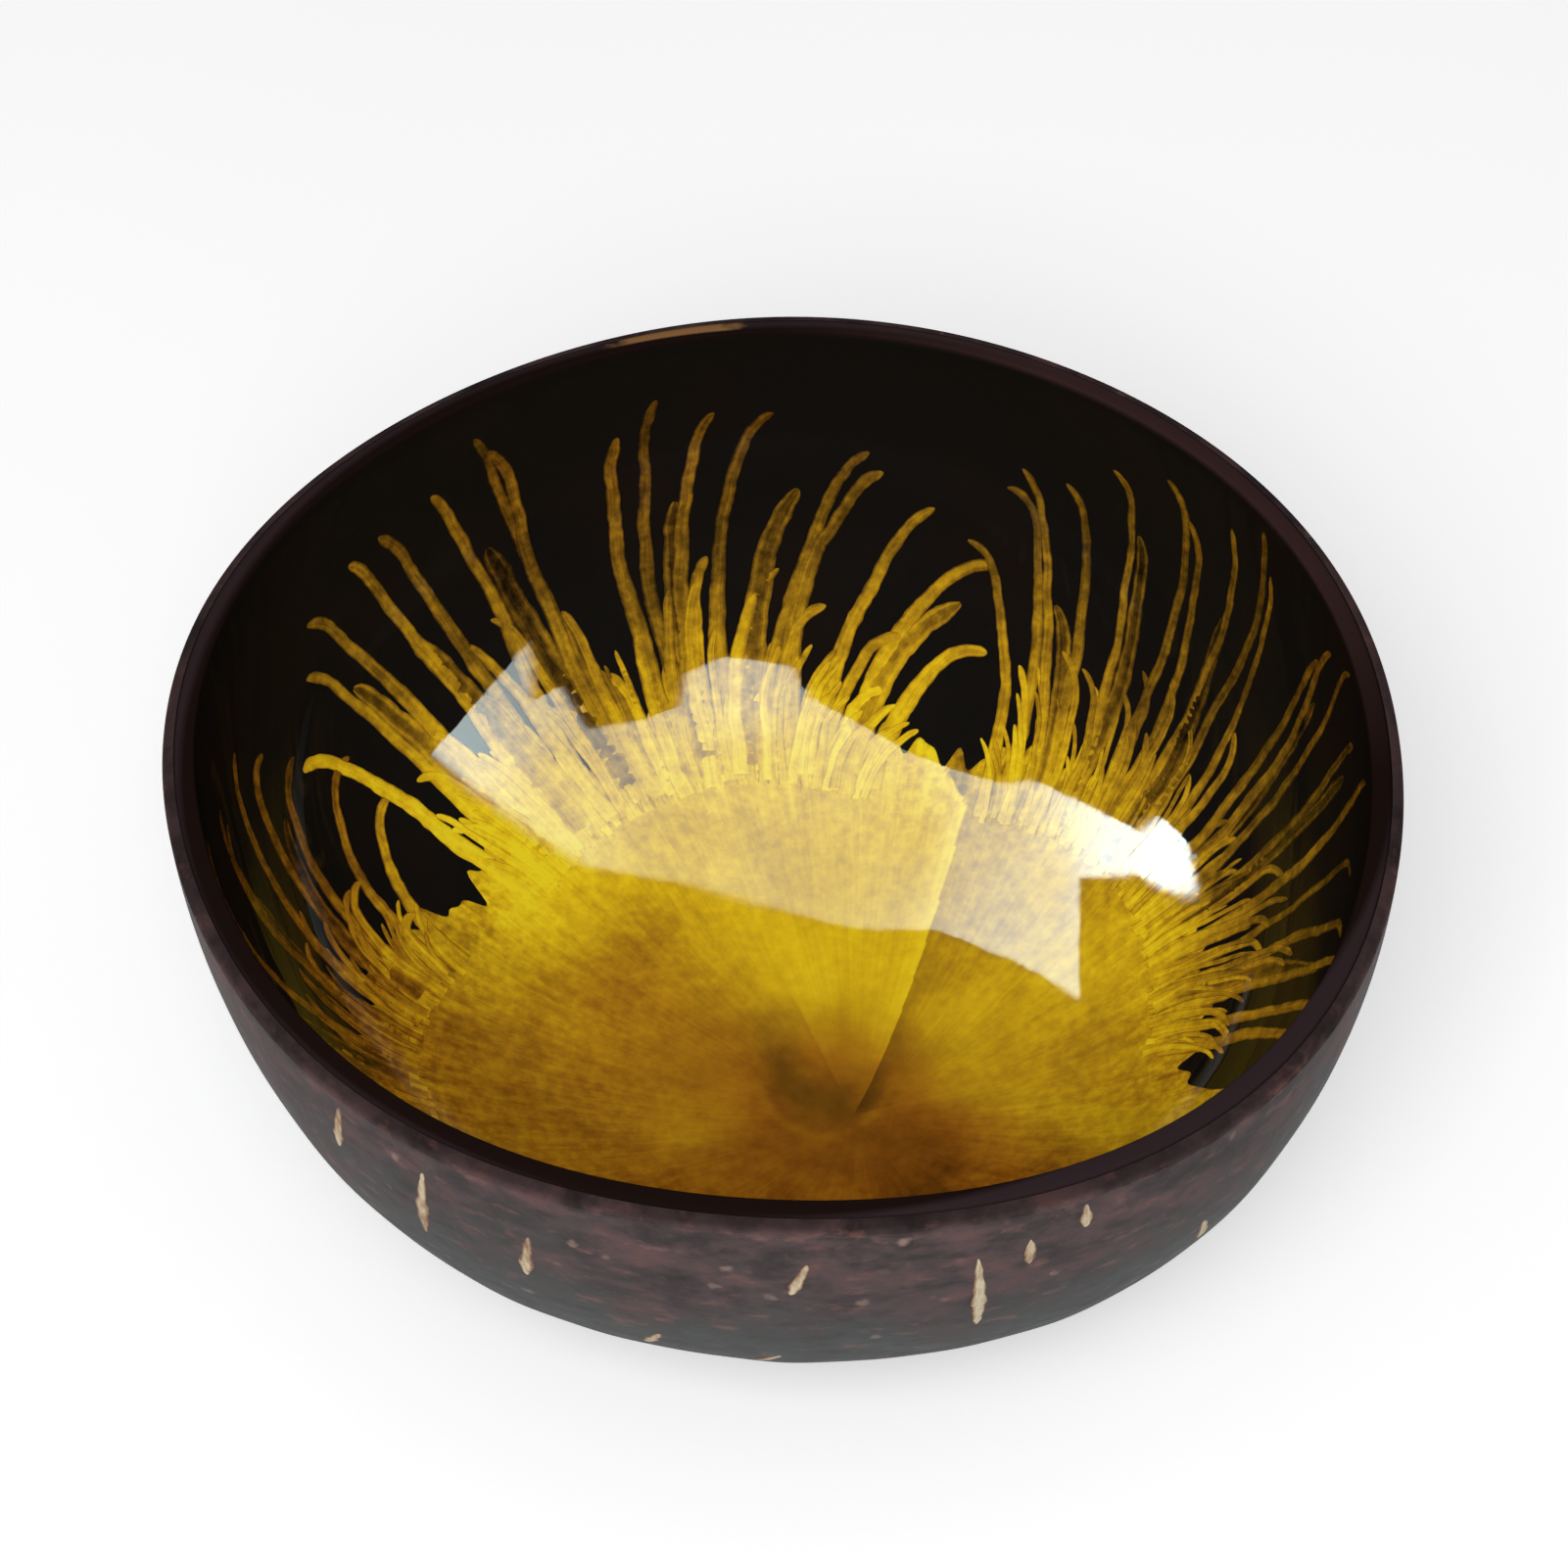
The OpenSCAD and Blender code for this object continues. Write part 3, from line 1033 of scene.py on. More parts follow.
@dataclass
class FibreStreaks:
    """The tan fibres in the skin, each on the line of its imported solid.

    A fibre is fullest at a share of its length within fullest, and its half width
    is that of its solid, up to widest, times a factor within growth.
    """

    form: BowlForm
    points_along: int = 22
    sunk: float = 0.024 * MM
    widest: float = 0.64 * MM
    fullest: tuple = (0.25, 0.45)
    growth: tuple = (1.05, 1.45)
    fading: tuple = (0.1, 0.5)
    crown: float = 0.14
    ridge: float = 0.1
    bead: float = 1.3
    bead_length: float = 1.4 * MM
    seed: int = 11

    def islands(self) -> list:
        """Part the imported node's loose triangles into its separate solids.

        Returns:
            One array of points for each solid, in the same order on each run.
        """
        work = bmesh.new()
        work.from_mesh(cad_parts["fibre_streaks"].data)
        bmesh.ops.remove_doubles(work, verts=work.verts, dist=0.001 * MM)
        work.verts.index_update()
        seen, found = set(), []
        for first in work.verts:
            todo, group = [first], []
            while todo:
                vertex = todo.pop()
                if vertex.index in seen:
                    continue
                seen.add(vertex.index)
                group.append(vertex.co[:])
                todo += [edge.other_vert(vertex) for edge in vertex.link_edges]
            if group:
                found.append(np.array(group))
        work.free()
        return sorted(found, key=lambda points: tuple(points.mean(0)))

    def guide(self, points: np.ndarray, rng: np.random.Generator) -> dict:
        """Lay one fibre's line on the skin.

        Args:
            points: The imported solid's points.
            rng: The source of random numbers.

        Returns:
            The guide line and its values.
        """
        low, high = points[np.argmin(points[:, 2])], points[np.argmax(points[:, 2])]
        way = np.linspace(0, 1, self.points_along)
        line = low + (high - low) * way[:, None]
        out = line[0] * (1, 1, 0)
        turn = np.arctan2(line[:, 1], line[:, 0])
        climb = self.climb_at(turn, line[:, 2])
        step = self.form.skin(turn, np.minimum(climb + 0.01, 1)) - self.form.skin(turn, climb - 0.01)
        normal = np.cross(np.stack([-np.sin(turn), np.cos(turn), 0 * turn], -1), step)
        normal /= np.linalg.norm(normal, axis=1, keepdims=True)
        wide = np.ptp(points @ np.cross(out / np.linalg.norm(out), (0, 0, 1))) / 2
        fullest = rng.uniform(*self.fullest)
        shape = np.where(way < fullest, way / fullest, (1 - way) / (1 - fullest))
        half = min(wide, self.widest) * np.clip(shape, 0.02, 1) ** 0.4 * rng.uniform(*self.growth)
        return {
            "points": self.form.skin(turn, climb) - normal * self.sunk,
            "wall_normal": normal,
            "half_width": half,
            "along": (way if rng.uniform() < 0.5 else 1 - way) * rng.uniform(*self.fading) - 0.1,
        }

    def climb_at(self, turn: np.ndarray, height: np.ndarray) -> np.ndarray:
        """Find how far up the skin a height lies.

        Args:
            turn: Angle around the axis.
            height: Height over the resting face.

        Returns:
            The shares of the way up the skin.
        """
        climbs = np.linspace(0, 1, 400)
        heights = self.form.skin(np.full_like(climbs, turn[0]), climbs)[:, 2]
        return np.interp(height, heights, climbs)

    def build(self, finish: CoconutFibre) -> bpy.types.Object:
        """Sweep the fibres.

        Args:
            finish: The fibres' finish.

        Returns:
            One piece with all the fibres.
        """
        rng = np.random.default_rng(self.seed)
        ribbons = Ribbons("fibre_ribbons", self.crown, self.ridge, self.bead, self.bead_length)
        guides = [self.guide(points, rng) for points in self.islands()]
        piece = ribbons.sweep("tan_fibres", guides, finish.material())
        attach(piece, ROOT)
        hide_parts("fibre_streaks")
        return piece


class Side(Enum):
    """The four feather fans, by where the photograph shows them."""

    BACK = "back"
    RIGHT = "right"
    FRONT = "front"
    LEFT = "left"


@dataclass(frozen=True)
class Fan:
    """One feather fan, with shares up the side and gold levels from 0 for bare black to 1 for full yellow.

    Its near side is the one towards the next fan clockwise, and its far side the
    other. A side's level is added to the fan's own, and its inner level near the
    centre. The near bend moves the seam on that side by degrees, first all along
    it and then more towards the centre, and near_soft blends the two fans' levels
    there. Seam is how clearly that seam stands out, and lift the millimetres that
    the film is thicker by. More is the number of long strokes, and dim the level of
    the strokes' tips, each as a share of the usual one.
    """

    side: Side
    angle: float
    seed: int
    reach: float
    near_reach: float
    far_reach: float
    edge: float
    level: float
    near_level: float
    far_level: float
    inner_far_level: float
    inner_near_level: float = 0.0
    near_edge: float = 0.415
    far_edge: float = 0.415
    near_lean: float = 1.0
    far_lean: float = 1.0
    near_bend: tuple = (0.0, 0.0)
    near_soft: float = 0.0
    hook: float = 1.0
    width: float = 1.0
    seam: float = 0.0
    lift: float = 0.0
    more: float = 1.0
    dim: float = 1.0


@dataclass(frozen=True)
class StrokeKind:
    """One kind of brush stroke, with its sizes in millimetres and its angles in degrees.

    A pair holds the least and the most that a stroke's value may be.
    """

    count: int
    points: int
    root: float
    length: tuple
    start: tuple
    end: tuple
    tip: float
    hook: tuple
    tone: tuple
    spread: float = 1.0
    rail: float = 0.0
    lift: float = 0.0


@dataclass
class GoldFans:
    """Gold lacquer brushed from the bottom outwards in fans of strokes.

    The fans spread from a centre beside the bowl's axis, up to the share of
    centre_fade. Sizes without a unit are in millimetres and angles in degrees.
    """

    form: BowlForm
    fans: tuple = (
        Fan(
            Side.BACK, angle=112.0, seed=3, reach=0.94, near_reach=0.58, far_reach=0.71, edge=0.47,
            level=0.78, near_level=0.08, far_level=0.29, inner_far_level=-0.24, far_lean=0.55,
            near_bend=(8.0, 6.0), width=0.88, seam=1.0, lift=0.05,
        ),
        Fan(
            Side.RIGHT, angle=22.0, seed=5, reach=0.97, near_reach=0.76, far_reach=0.72, edge=0.50,
            level=0.72, near_level=-0.08, far_level=0.0, inner_far_level=-0.02, inner_near_level=-0.09,
            near_edge=0.465, near_lean=0.75, far_lean=0.5, near_bend=(0.0, -46.0), hook=1.3, width=0.64,
            seam=0.25, more=1.2, dim=0.90,
        ),
        Fan(
            Side.FRONT, angle=-68.0, seed=7, reach=0.90, near_reach=0.66, far_reach=0.66, edge=0.56,
            level=0.34, near_level=0.08, far_level=0.38, inner_far_level=0.36, inner_near_level=0.08,
            far_edge=0.60, width=0.8, lift=0.02,
        ),
        Fan(
            Side.LEFT, angle=202.0, seed=9, reach=0.93, near_reach=0.58, far_reach=0.70, edge=0.55,
            level=0.54, near_level=0.06, far_level=-0.12, inner_far_level=-0.12, near_soft=1.0, hook=1.5,
            width=0.76, lift=0.03, more=1.2, dim=0.84,
        ),
    )
    blades: StrokeKind = StrokeKind(
        count=6, points=40, root=0.07, length=(0.55, 0.85), start=(2.2, 3.0), end=(1.2, 1.6), tip=4.0,
        hook=(0, 20), tone=(-0.06, 0.02), spread=0.9, rail=1.0, lift=-0.01,
    )
    long_strokes: StrokeKind = StrokeKind(
        count=17, points=56, root=0.08, length=(0.88, 1.03), start=(1.3, 1.8), end=(0.74, 0.96), tip=2.0,
        hook=(20, 75), tone=(-0.08, 0.06), lift=0.01,
    )
    short_strokes: StrokeKind = StrokeKind(
        count=24, points=30, root=0.09, length=(0.30, 0.56), start=(1.0, 1.6), end=(0.6, 0.85), tip=1.8,
        hook=(10, 80), tone=(-0.02, 0.14), spread=0.86, lift=0.03,
    )
    comb_strokes: StrokeKind = StrokeKind(
        count=70, points=18, root=0.09, length=(0.18, 0.36), start=(0.6, 0.9), end=(0.35, 0.55), tip=1.2,
        hook=(0, 20), tone=(-0.10, 0.14), spread=0.94, lift=0.04,
    )
    # Where the pattern lies on the wall, and how the fans' seams bend near its centre.
    centre: tuple = (7.0 * MM, -12.0 * MM)
    centre_fade: float = 0.75
    half_fan: float = 45.0
    half_fan_length: float = 60.0
    bend_share: float = 0.42
    bend_step: float = 0.05
    bend_width: float = 42.0
    # The solid middle: its film, its mesh and its ragged edge.
    thickness: float = 0.10 * MM
    sunk: float = 0.06 * MM
    around: int = 720
    rings: int = 96
    edge_blend: int = 19
    ragged: tuple = ((23, 0.012), (61, 0.014), (97, 0.008))
    seed: int = 17
    # The strokes: their paths in degrees and millimetres, and how they sit on the wall.
    side_arc: float = 95.0
    root_spread: float = 36.0
    lean: float = 12.0
    bend: float = 42.0
    hook_length: float = 6.0
    highest: float = 0.985
    stroke_grit: float = 0.13
    crown: float = 0.05
    ridge: float = 0.3
    bead: float = 0.5
    bead_length: float = 1.3 * MM
    # Levels at the centre and from the solid middle out to the tips.
    centre_level: float = 0.37
    centre_share: float = 0.13
    early: float = 0.10
    fade_places: tuple = (0.0, 0.12, 0.25, 0.4, 0.6, 0.8, 1.0)
    fade_levels: tuple = (1.08, 0.98, 0.74, 0.57, 0.46, 0.40, 0.38)
    # The seams' bright lines and shade, and the round end of the back fan.
    seam_bright: float = 0.14
    seam_shade: float = 0.13
    end_place: tuple = (3.8, -1.0)
    end_radii: tuple = (8.6, 14.2)
    end_dark: float = 0.09
    end_line: float = 0.07

    def settle(self, turn: np.ndarray, share: np.ndarray) -> tuple[np.ndarray, np.ndarray]:
        """Move the pattern's own turns and shares, round a centre beside the axis, to those of the hollow.

        Args:
            turn: Angle around the pattern's centre.
            share: Share of the way up the side, seen from the pattern's centre.

        Returns:
            The hollow's turns and shares.
        """
        fade = ramp(share, self.centre_fade, 0) ** 2
        moved = self.form.hollow(turn, share)[..., :2] + np.array(self.centre) * fade[..., None]
        real_turn, real_share = self.form.hollow_place(moved)
        keep = share >= self.centre_fade
        return np.where(keep, turn, real_turn), np.where(keep, share, real_share)

    def petal(self, turn: np.ndarray, share: np.ndarray) -> tuple[np.ndarray, np.ndarray]:
        """Find each point's fan and its place across it, where the fans' seams bend near the centre.

        Args:
            turn: Angle around the pattern's centre.
            share: Share of the way up the side.

        Returns:
            The fan's number, and the place from -1 at one seam to 1 at the other.
        """
        degrees = np.degrees(turn) + 0 * share
        step = ramp(share, self.bend_share, self.bend_share - self.bend_step)
        curve = ramp(share, self.bend_share, 0) ** 2
        bend = np.zeros_like(degrees)
        for fan in self.fans:
            aside = np.mod(degrees - fan.angle + self.half_fan + 180, 360) - 180
            shift, more = fan.near_bend
            bend = bend + (shift * step + more * curve) * np.exp(-((aside / self.bend_width) ** 2))
        degrees = degrees + bend
        away = np.stack([np.mod(degrees - fan.angle + 180, 360) - 180 for fan in self.fans])
        nearest = np.argmin(np.abs(away), axis=0)
        return nearest, np.take_along_axis(away, nearest[None], 0)[0] / self.half_fan

    def of_fans(self, number: np.ndarray, name: str) -> np.ndarray:
        """Look one of the fans' values up, by the fans' numbers and the value's name."""
        return np.array([getattr(fan, name) for fan in self.fans])[number]

    def of_side(self, number: np.ndarray, near: np.ndarray, name: str) -> np.ndarray:
        """Look up a value that a fan's near and far sides have apart, by the end of its name."""
        return np.where(near, *(self.of_fans(number, name.format(side)) for side in ("near", "far")))

    def to_seam(self, across: np.ndarray, share: np.ndarray) -> np.ndarray:
        """Give the distance in millimetres from a place across a fan to its far seam."""
        return (1 - across) * share * self.half_fan_length

    def body_edge(self, number: np.ndarray, across: np.ndarray) -> np.ndarray:
        """Give the share up the side at which a fan's solid body ends."""
        middle = self.of_fans(number, "edge")
        end = self.of_side(number, across <= 0, "{}_edge")
        return middle - (middle - end) * np.clip(np.abs(across), 0, 1) ** 2

    def side_level(
        self, number: np.ndarray, near: np.ndarray, high: np.ndarray, low: np.ndarray
    ) -> np.ndarray:
        """Give the level on one side of a fan, from how far its upper and its inner change hold."""
        upper = self.of_side(number, near, "{}_level")
        inner = self.of_side(number, near, "inner_{}_level")
        return self.of_fans(number, "level") + upper * high + inner * low

    def body_level(self, number: np.ndarray, across: np.ndarray, share: np.ndarray) -> np.ndarray:
        """Give the level of the gold in a fan's solid body.

        Args:
            number: Numbers of the fans.
            across: Places across them.
            share: Shares of the way up the side.

        Returns:
            The levels.
        """
        near, aside = across < 0, np.abs(across)
        high = ramp(share, 0.24, 0.36)
        own = self.side_level(number, near, ramp(aside, 0.33, 0.88) * high, ramp(aside, 0.1, 1) * (1 - high))
        following, previous = (number + 1) % len(self.fans), (number - 1) % len(self.fans)
        beyond = self.side_level(np.where(near, following, previous), ~near, high, 1 - high)
        at_seam = (self.side_level(number, near, high, 1 - high) + beyond) / 2
        soft = self.of_fans(np.where(near, number, previous), "near_soft")
        outer = own + (at_seam - own) * soft * np.exp(-self.to_seam(aside, share) / 5)
        risen = ramp(share, 0, self.centre_share)
        return self.centre_level + (outer - self.centre_level) * risen * risen * (3 - 2 * risen)

    def thinning(
        self, number: np.ndarray, across: np.ndarray, share: np.ndarray
    ) -> tuple[np.ndarray, np.ndarray]:
        """Find how far a point lies on the way from a fan's solid body to the tips.

        Args:
            number: Numbers of the fans.
            across: Places across them.
            share: Shares of the way up the side.

        Returns:
            The share of that way, and the share of the body's level that the brush leaves there.
        """
        edge = self.body_edge(number, across) - self.early
        out = ramp(share, edge, self.of_fans(number, "reach"))
        out = out * (1 - 0.55 * ramp(np.abs(across), 0, 0.8) ** 1.5)
        return out, np.interp(out, self.fade_places, self.fade_levels)

    def warmth(self, level: np.ndarray) -> np.ndarray:
        """Give the warmth of the gold, which is redder where the body is brushed thin."""
        return 0.15 + 0.85 * ramp(level, 0.72, 0.47)

    def brush_place(self, turn: np.ndarray, share: np.ndarray) -> np.ndarray:
        """Give the place in the brush's noise, narrow around the centre and long outwards."""
        return np.stack([30 * np.cos(turn), 30 * np.sin(turn), 7.0 * share], -1)

    def marks(self, turn: np.ndarray, share: np.ndarray) -> tuple[np.ndarray, np.ndarray]:
        """Give what the seams, and the round end of the back fan at the centre, add to the body's level.

        Args:
            turn: Angle around the pattern's centre.
            share: Share of the way up the side.

        Returns:
            Levels to add, and shares by which the gold is olive where it would be warm.
        """
        number, across = self.petal(turn, share)
        line = np.exp(-(self.to_seam(np.abs(across), share) ** 2) / 3) * ramp(share, 0, 0.12)
        bright = self.seam_bright * self.of_fans(number, "seam") * (across < 0) * line
        beyond = self.of_fans((number - 1) % len(self.fans), "seam")
        shade = self.seam_shade * beyond * np.exp(-self.to_seam(across, share) / 6)
        plan = self.form.hollow(*self.settle(turn, share))[..., :2] / MM
        x, y = plan[..., 0] - self.end_place[0], plan[..., 1] - self.end_place[1]
        round_end = np.hypot(x / self.end_radii[0], y / self.end_radii[1])
        dark = np.exp(-(((round_end - 0.6) / 0.32) ** 2)) * np.clip(0.55 - x / 12 - y / 16, 0, 1)
        rim = np.exp(-(((round_end - 1) / 0.06) ** 2)) * ramp(y, -3, -9)
        added = bright - shade - self.end_dark * dark + self.end_line * rim
        return added, np.clip(0.45 * dark + 2 * shade, 0, 0.8)

    def ground_edge(self, turn: np.ndarray) -> np.ndarray:
        """Give the share up the side at which the solid middle ends.

        Args:
            turn: Angle around the pattern's centre.

        Returns:
            The shares, with a ragged edge.
        """
        rng = np.random.default_rng(self.seed)
        ragged = np.zeros_like(turn)
        for count, size in self.ragged:
            ragged += size * np.sin(count * turn + rng.uniform(0, 6.28)) * rng.uniform(0.6, 1.2)
        edge = self.body_edge(*self.petal(turn, np.ones_like(turn)))
        # A step from one fan's edge to the next is spread over a few degrees, so the film stays on the wall.
        window, reach = np.hanning(self.edge_blend + 2)[1:-1], self.edge_blend // 2
        return np.convolve(np.pad(edge, reach, "wrap"), window / window.sum(), "valid") + ragged

    def build_ground(self, material: bpy.types.Material) -> bpy.types.Object:
        """Build the solid middle of the pattern, with a ragged edge and a step between its fans.

        Args:
            material: The gold lacquer.

        Returns:
            The piece.
        """
        turn = turns(self.around)
        edge = self.ground_edge(turn)
        inner = np.linspace(0, 1, self.rings) ** 0.9
        rings, values = [], {"gold": [], "warmth": [], "grit": [], "brush": []}
        for way in (*inner[1:], *inner[:0:-4]):
            rising = len(rings) < self.rings - 1
            share = edge * way
            number, across = self.petal(turn, share)
            lift = (self.thickness + self.of_fans(number, "lift") * MM) * ramp(way, 1, 0.96) ** 0.5
            rings.append(self.form.hollow(*self.settle(turn, share), lift if rising else -self.sunk))
            level = self.body_level(number, across, share)
            added, olive = self.marks(turn, share)
            thinned = self.thinning(number, across, share)[1] / self.fade_levels[0]
            values["gold"].append(level * thinned + added)
            values["warmth"].append(self.warmth(level) * (1 - olive))
            values["grit"].append(0.08 * np.clip(share / 0.25, 0.2, 1) + 0.14 * ramp(way, 0.6, 1) ** 1.5)
            values["brush"].append(self.brush_place(turn, share))
        centre = self.settle(np.zeros(1), np.zeros(1))
        poles = tuple(self.form.hollow(*centre, lift)[0] for lift in (self.thickness, -self.sunk))
        piece = turned_piece("gold_ground", rings, poles, material)
        for name, rows in values.items():
            end = np.zeros((2, 3)) if name == "brush" else np.full(2, rows[0].mean())
            store(piece, name, np.concatenate([*rows, end]))
        return piece

    def stroke(self, fan: Fan, kind: StrokeKind, side: float, rng: np.random.Generator) -> dict:
        """Draw one stroke: out from its root, bending away from the fan's middle, with a hook at its tip.

        Args:
            fan: The fan.
            kind: The kind of stroke.
            side: Place across the fan, from -1 to 1.
            rng: The source of random numbers.

        Returns:
            The guide line and its values.
        """
        form, number = self.form, np.array(self.fans.index(fan))
        across = side * self.root_spread / self.half_fan
        edge = float(self.body_edge(number, np.array(across)))
        way = 1 - (1 - np.linspace(0, 1, kind.points)) ** 1.5
        root = edge - kind.root + rng.uniform(-0.01, 0.01)
        side_reach, lean = (fan.far_reach, fan.far_lean) if side > 0 else (fan.near_reach, fan.near_lean)
        reach = fan.reach + (side_reach - fan.reach) * abs(side) ** 2.4
        length = (reach - root) * self.side_arc * rng.uniform(*kind.length) * (1 + 0.18 * abs(side))
        run = way * length
        # The path: a lean that grows outwards, a hook over the last of it, and an unsteady hand.
        hand = math.copysign(1.0, side + rng.uniform(-0.05, 0.05))
        hook = hand * fan.hook * rng.uniform(*kind.hook) * (0.45 + 0.55 * abs(side))
        last = ramp(run, length - self.hook_length, length)
        wobble = rng.uniform(1, 3) * np.sin(way * rng.uniform(5, 9) + rng.uniform(0, 6.28))
        ripple = 6 * np.convolve(rng.normal(size=kind.points), np.ones(3) / 3, "same")
        heading = lean * side * (self.lean + self.bend * way**1.3) + hook * last**1.5 + wobble + ripple
        heading = np.radians(heading + rng.uniform(-3, 3))
        steps = np.diff(way, prepend=0) * length
        share = np.minimum(root + np.cumsum(np.cos(heading) * steps) / self.side_arc, self.highest)
        radius = form.lining_radius / MM * np.sin(share * RIGHT_ANGLE) ** (2 / form.hollow_fullness)
        turn = np.radians(fan.angle + self.root_spread * side) + np.cumsum(np.sin(heading) * steps / radius)
        # The width: it falls from start to end, with a round tip.
        start, end = rng.uniform(*kind.start), rng.uniform(*kind.end)
        near = ramp(run, length - kind.tip, length)
        width = (end + (start - end) * (1 - way) ** 1.15) * np.sqrt(np.clip(1 - near**2, 0.003, 1))
        over = self.thickness * 1.2 * ramp(share, edge + 0.03, edge - 0.03)
        place = np.full_like(share, number, dtype=int), np.full_like(share, across), share
        body = self.body_level(*place)
        out, thinned = self.thinning(*place)
        tone = rng.uniform(*kind.tone)
        real_turn, real_share = self.settle(turn, share)
        lift = (kind.lift + rng.uniform(0, 0.02)) * MM
        return {
            "points": form.hollow(real_turn, real_share, lift + over),
            "wall_normal": form.hollow_normal(real_turn, np.minimum(real_share, 0.995)),
            "half_width": width * fan.width * MM,
            "gold": body * thinned * (1 - (1 - fan.dim) * ramp(out, 0, 0.3)) + tone,
            "warmth": self.warmth(body) + 0.8 * np.clip(out - 0.5, 0, 0.5),
            "grit": np.full_like(share, self.stroke_grit),
            "rail": np.full_like(share, kind.rail),
            "brush": self.brush_place(np.full_like(share, turn[0]), share),
        }

    def fan_guides(self, fan: Fan) -> list:
        """Draw one fan's strokes.

        Args:
            fan: The fan.

        Returns:
            The guide lines of all its strokes.
        """
        rng = np.random.default_rng(fan.seed)
        guides = []
        for kind in (self.blades, self.long_strokes, self.short_strokes, self.comb_strokes):
            count = round(kind.count * (fan.more if kind is self.long_strokes else 1.0))
            for index in range(count):
                side = (index + 0.5 + rng.uniform(-0.38, 0.38)) / count * 2 - 1
                guides.append(self.stroke(fan, kind, side * kind.spread, rng))
        return guides

    def level_coat(self, piece: bpy.types.Object) -> None:
        """Store the smooth wall's directions on a piece, for the gloss coat that is levelled over it.

        Args:
            piece: The piece.
        """
        points = np.array([vertex.co[:] for vertex in piece.data.vertices])
        turn, share = self.form.hollow_place(points[:, :2])
        store(piece, "wall", self.form.hollow_normal(turn, np.clip(share, 0.005, 0.995)))

    def build(self, finish: GoldLacquer) -> list:
        """Build the solid middle and the four fans of strokes.

        Args:
            finish: The gold lacquer.

        Returns:
            The pieces.
        """
        material = finish.material()
        pieces = [self.build_ground(material)]
        ribbons = Ribbons("stroke_ribbons", self.crown, self.ridge, self.bead, self.bead_length)
        for fan in self.fans:
            pieces.append(ribbons.sweep(f"gold_strokes_{fan.side.value}", self.fan_guides(fan), material))
        for piece in pieces:
            self.level_coat(piece)
            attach(piece, ROOT)
            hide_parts("gold_feathers")
        return pieces


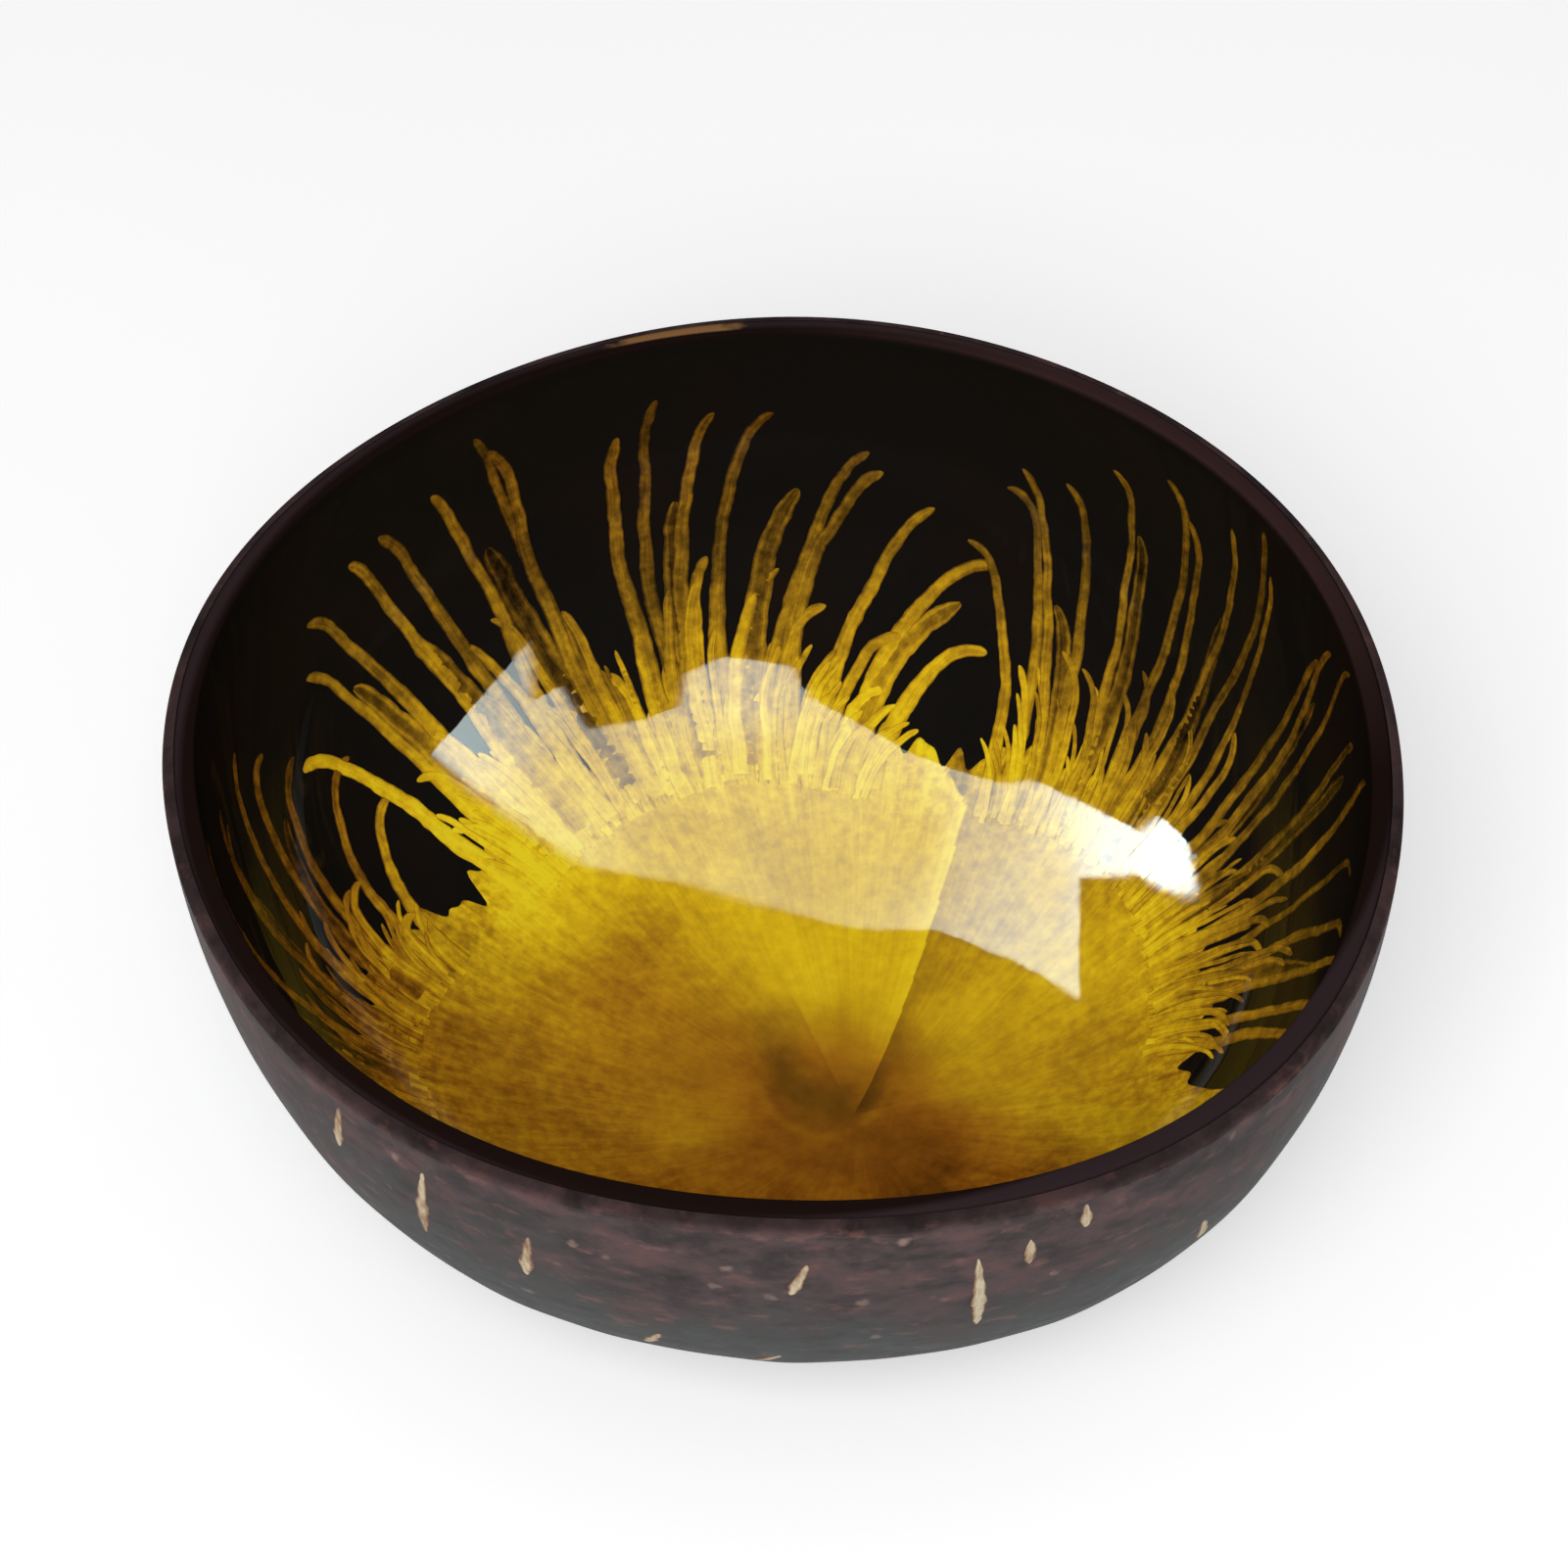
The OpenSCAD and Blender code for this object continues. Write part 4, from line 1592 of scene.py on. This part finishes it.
@dataclass
class Window:
    """The bright window that the lacquer mirrors.

    Its outline is kept as the photograph's pixels and sent out again over the
    hollow, so the panel stands where the real window stood. Each of the glows is
    a pixel and the panel's brightness near it.
    """

    form: BowlForm
    camera: PhotoCamera
    radius: float = 0.6
    step: float = 18.0
    outline: tuple = (
        (440, 770), (498, 705), (540, 655), (545, 715), (572, 702), (600, 745), (660, 735),
        (695, 720), (700, 688), (740, 670), (808, 680), (826, 712), (880, 742), (935, 772),
        (1020, 802), (1060, 800), (1165, 852), (1185, 835), (1212, 858), (1222, 915), (1190, 912),
        (1160, 895), (1102, 897), (1102, 1020), (1045, 985), (960, 950), (870, 948), (780, 925),
        (700, 902), (600, 885), (560, 862), (480, 802),
    )
    glows: tuple = (
        (460, 765, 36.0), (545, 690, 26.0), (600, 790, 17.0), (760, 700, 27.0), (770, 800, 13.0),
        (700, 865, 12.0), (850, 890, 12.0), (930, 850, 12.0), (1005, 850, 24.0), (1060, 900, 30.0),
        (1080, 990, 32.0), (1150, 870, 72.0), (1200, 880, 95.0),
    )
    tint: str = "#e8fbfb"

    def sides(self) -> list:
        """Return the outline's sides, each as its two ends."""
        return list(zip(self.outline, self.outline[1:] + self.outline[:1]))

    def inside(self, x: float, y: float) -> bool:
        """Say whether a pixel lies within the outline."""
        crossed = [
            x < ax + (y - ay) * (bx - ax) / (by - ay)
            for (ax, ay), (bx, by) in self.sides()
            if (ay > y) != (by > y)
        ]
        return sum(crossed) % 2 == 1

    def pixels(self) -> tuple[list, list]:
        """Split the outline into short edges and fill it with points.

        Returns:
            The pixels, and the edges between those of the outline.
        """
        points = []
        for (ax, ay), (bx, by) in self.sides():
            count = max(1, round(math.hypot(bx - ax, by - ay) / self.step))
            points += [(ax + (bx - ax) * i / count, ay + (by - ay) * i / count) for i in range(count)]
        edges = [(i, (i + 1) % len(points)) for i in range(len(points))]
        columns, rows = zip(*self.outline)
        for x in np.arange(min(columns), max(columns), self.step):
            for y in np.arange(min(rows), max(rows), self.step):
                near = min(math.dist((x, y), p) for p in points[: len(edges)])
                if near > self.step / 2 and self.inside(x, y):
                    points.append((float(x), float(y)))
        return points, edges

    def send(self, pixel: tuple[float, float]) -> np.ndarray:
        """Follow a pixel's ray to the hollow and out again to the panel.

        Args:
            pixel: Column and row in the photograph.

        Returns:
            The panel's point.
        """
        way = self.camera.ray(pixel)
        turn, share = self.form.meet_hollow(self.camera.eye(self.form.rim_height), way)
        spot = np.array([turn]), np.array([share])
        point, normal = self.form.hollow(*spot)[0], self.form.hollow_normal(*spot)[0]
        out = way - 2 * (way @ normal) * normal
        half = point @ out
        return point + out * (-half + math.sqrt(half * half - point @ point + self.radius**2))

    def build(self) -> bpy.types.Object:
        """Build the glowing panel, which only mirrored rays see.

        Returns:
            The panel.
        """
        pixels, edges = self.pixels()
        placed, _, faces, *_ = geometry.delaunay_2d_cdt([Vector(p) for p in pixels], edges, [], 1, 1e-4)
        points = np.array([self.send((p.x, p.y)) for p in placed])
        material, w, shader = new_material("window_glow", "Emission")
        strength = w.add("Attribute", out="Fac", attribute_name="glow")
        w.feed(shader, {"Color": self.tint, "Strength": strength})
        panel = mesh_object("window_panel", points, [list(f) for f in faces], material)
        spots = np.array(self.glows)
        away = np.linalg.norm(np.array(placed)[:, None] - spots[None, :, :2], axis=-1) + 1.0
        store(panel, "glow", (away**-3 * spots[:, 2]).sum(1) / (away**-3).sum(1))
        for ray in ("camera", "diffuse", "transmission", "volume_scatter", "shadow"):
            setattr(panel, f"visible_{ray}", False)
        return panel


@dataclass
class Studio:
    """A plain pale floor and plain soft light.

    Mirrored rays see a pale backdrop up to backdrop_top and a dark ceiling above it.
    """

    form: BowlForm
    floor_size: float = 6.0
    floor_colours: tuple = ((0.3, "#f6f6f6"), (0.7, "#fafafa"))
    floor_clouds: float = 3.0
    floor_lift: float = 0.33
    white: str = "#ffffff"
    ambient: float = 0.36
    backdrop: float = 0.7
    backdrop_top: float = 0.05
    backdrop_fade: float = 0.15
    ceiling: float = 0.03
    key_share: float = 0.62
    key_distance: float = 1.0
    key_size: float = 0.55
    key_azimuth: float = math.radians(-100.0)
    key_elevation: float = math.radians(47.0)

    def build_world(self) -> None:
        """Light the object from all round, with a white backdrop low down and a dark ceiling."""
        world = bpy.data.worlds.new("studio_world")
        bpy.context.scene.world = world
        world.use_nodes = True
        world.node_tree.nodes.clear()
        w = Wiring(world.node_tree)
        path = w.add("LightPath").node.outputs
        height = w.add("SeparateXYZ", {0: w.add("TexCoord", out="Generated")}, "Z")
        low, high = self.backdrop_top, self.backdrop_top + self.backdrop_fade
        mirrored = w.add("MapRange", {0: height, 1: low, 2: high, 3: self.backdrop, 4: self.ceiling})
        seen = w.add("Math", {0: path["Is Camera Ray"], 1: path["Is Transmission Ray"]}, operation="MAXIMUM")
        strength = self.ambient
        for share, level in ((path["Is Glossy Ray"], mirrored), (seen, 1.0)):
            strength = w.add("Mix", {"Factor": share, 2: strength, 3: level}, data_type="FLOAT")
        light = w.add("Background", {"Color": self.white, "Strength": strength})
        w.add("OutputWorld", {"Surface": light})

    def build_floor(self) -> bpy.types.Object:
        """Build the floor, which the object's shadow falls on.

        Returns:
            The floor.
        """
        material, w, shader = new_material("pale_floor")
        place = w.add("TexCoord", out="Object")
        cloud = w.add("TexNoise", {"Vector": place, "Scale": self.floor_clouds, "Detail": 2.0})
        colour = w.add("ValToRGB", {0: cloud}, stops=self.floor_colours)
        seen = w.add("LightPath", out="Is Camera Ray")
        w.feed(
            shader,
            {
                "Base Color": colour,
                "Roughness": 0.9,
                "Specular IOR Level": 0.0,
                "Emission Color": self.white,
                "Emission Strength": w.add("Math", {0: seen, 1: self.floor_lift}, operation="MULTIPLY"),
            },
        )
        half = self.floor_size / 2
        corners = np.array([(-half, -half, 0), (half, -half, 0), (half, half, 0), (-half, half, 0)])
        floor = mesh_object("studio_floor", corners, [(0, 1, 2, 3)], material)
        return floor

    def build_key(self) -> bpy.types.Object:
        """Hang the key lamp on the camera's side.

        Returns:
            The lamp.
        """
        data = bpy.data.lights.new("key_softbox", "AREA")
        data.size = self.key_size
        data.energy = self.key_share * (math.pi * self.key_distance) ** 2
        lamp = bpy.data.objects.new("key_softbox", data)
        bpy.context.scene.collection.objects.link(lamp)
        turn, flat = self.key_azimuth, math.cos(self.key_elevation)
        way = Vector((flat * math.cos(turn), flat * math.sin(turn), math.sin(self.key_elevation)))
        lamp.rotation_euler = way.to_track_quat("Z", "Y").to_euler()
        lamp.location = way * self.key_distance + Vector((0, 0, self.form.rim_height / 2))
        lamp.visible_glossy = False
        return lamp

    def build(self) -> None:
        """Build the world, the floor and the lamp."""
        self.build_world()
        self.build_floor()
        self.build_key()


def main() -> None:
    """Build the bowl and its studio."""
    logging.basicConfig(level=logging.INFO, format="%(name)s: %(message)s")
    bpy.context.scene.view_settings.view_transform = "Standard"
    form = BowlForm.from_frame()
    camera = PhotoCamera()
    camera.build(form.rim_height)
    pieces = [
        CoconutShell(form).build(CoconutSkin()),
        FibreStreaks(form).build(CoconutFibre()),
        LacquerLining(form).build(BlackLacquer()),
    ]
    pieces += GoldFans(form).build(GoldLacquer())
    for piece in pieces:
        piece.data.calc_loop_triangles()
        LOG.info("%s: %d triangles", piece.name, len(piece.data.loop_triangles))
    Window(form, camera).build()
    Studio(form).build()


if __name__ == "__main__":
    main()
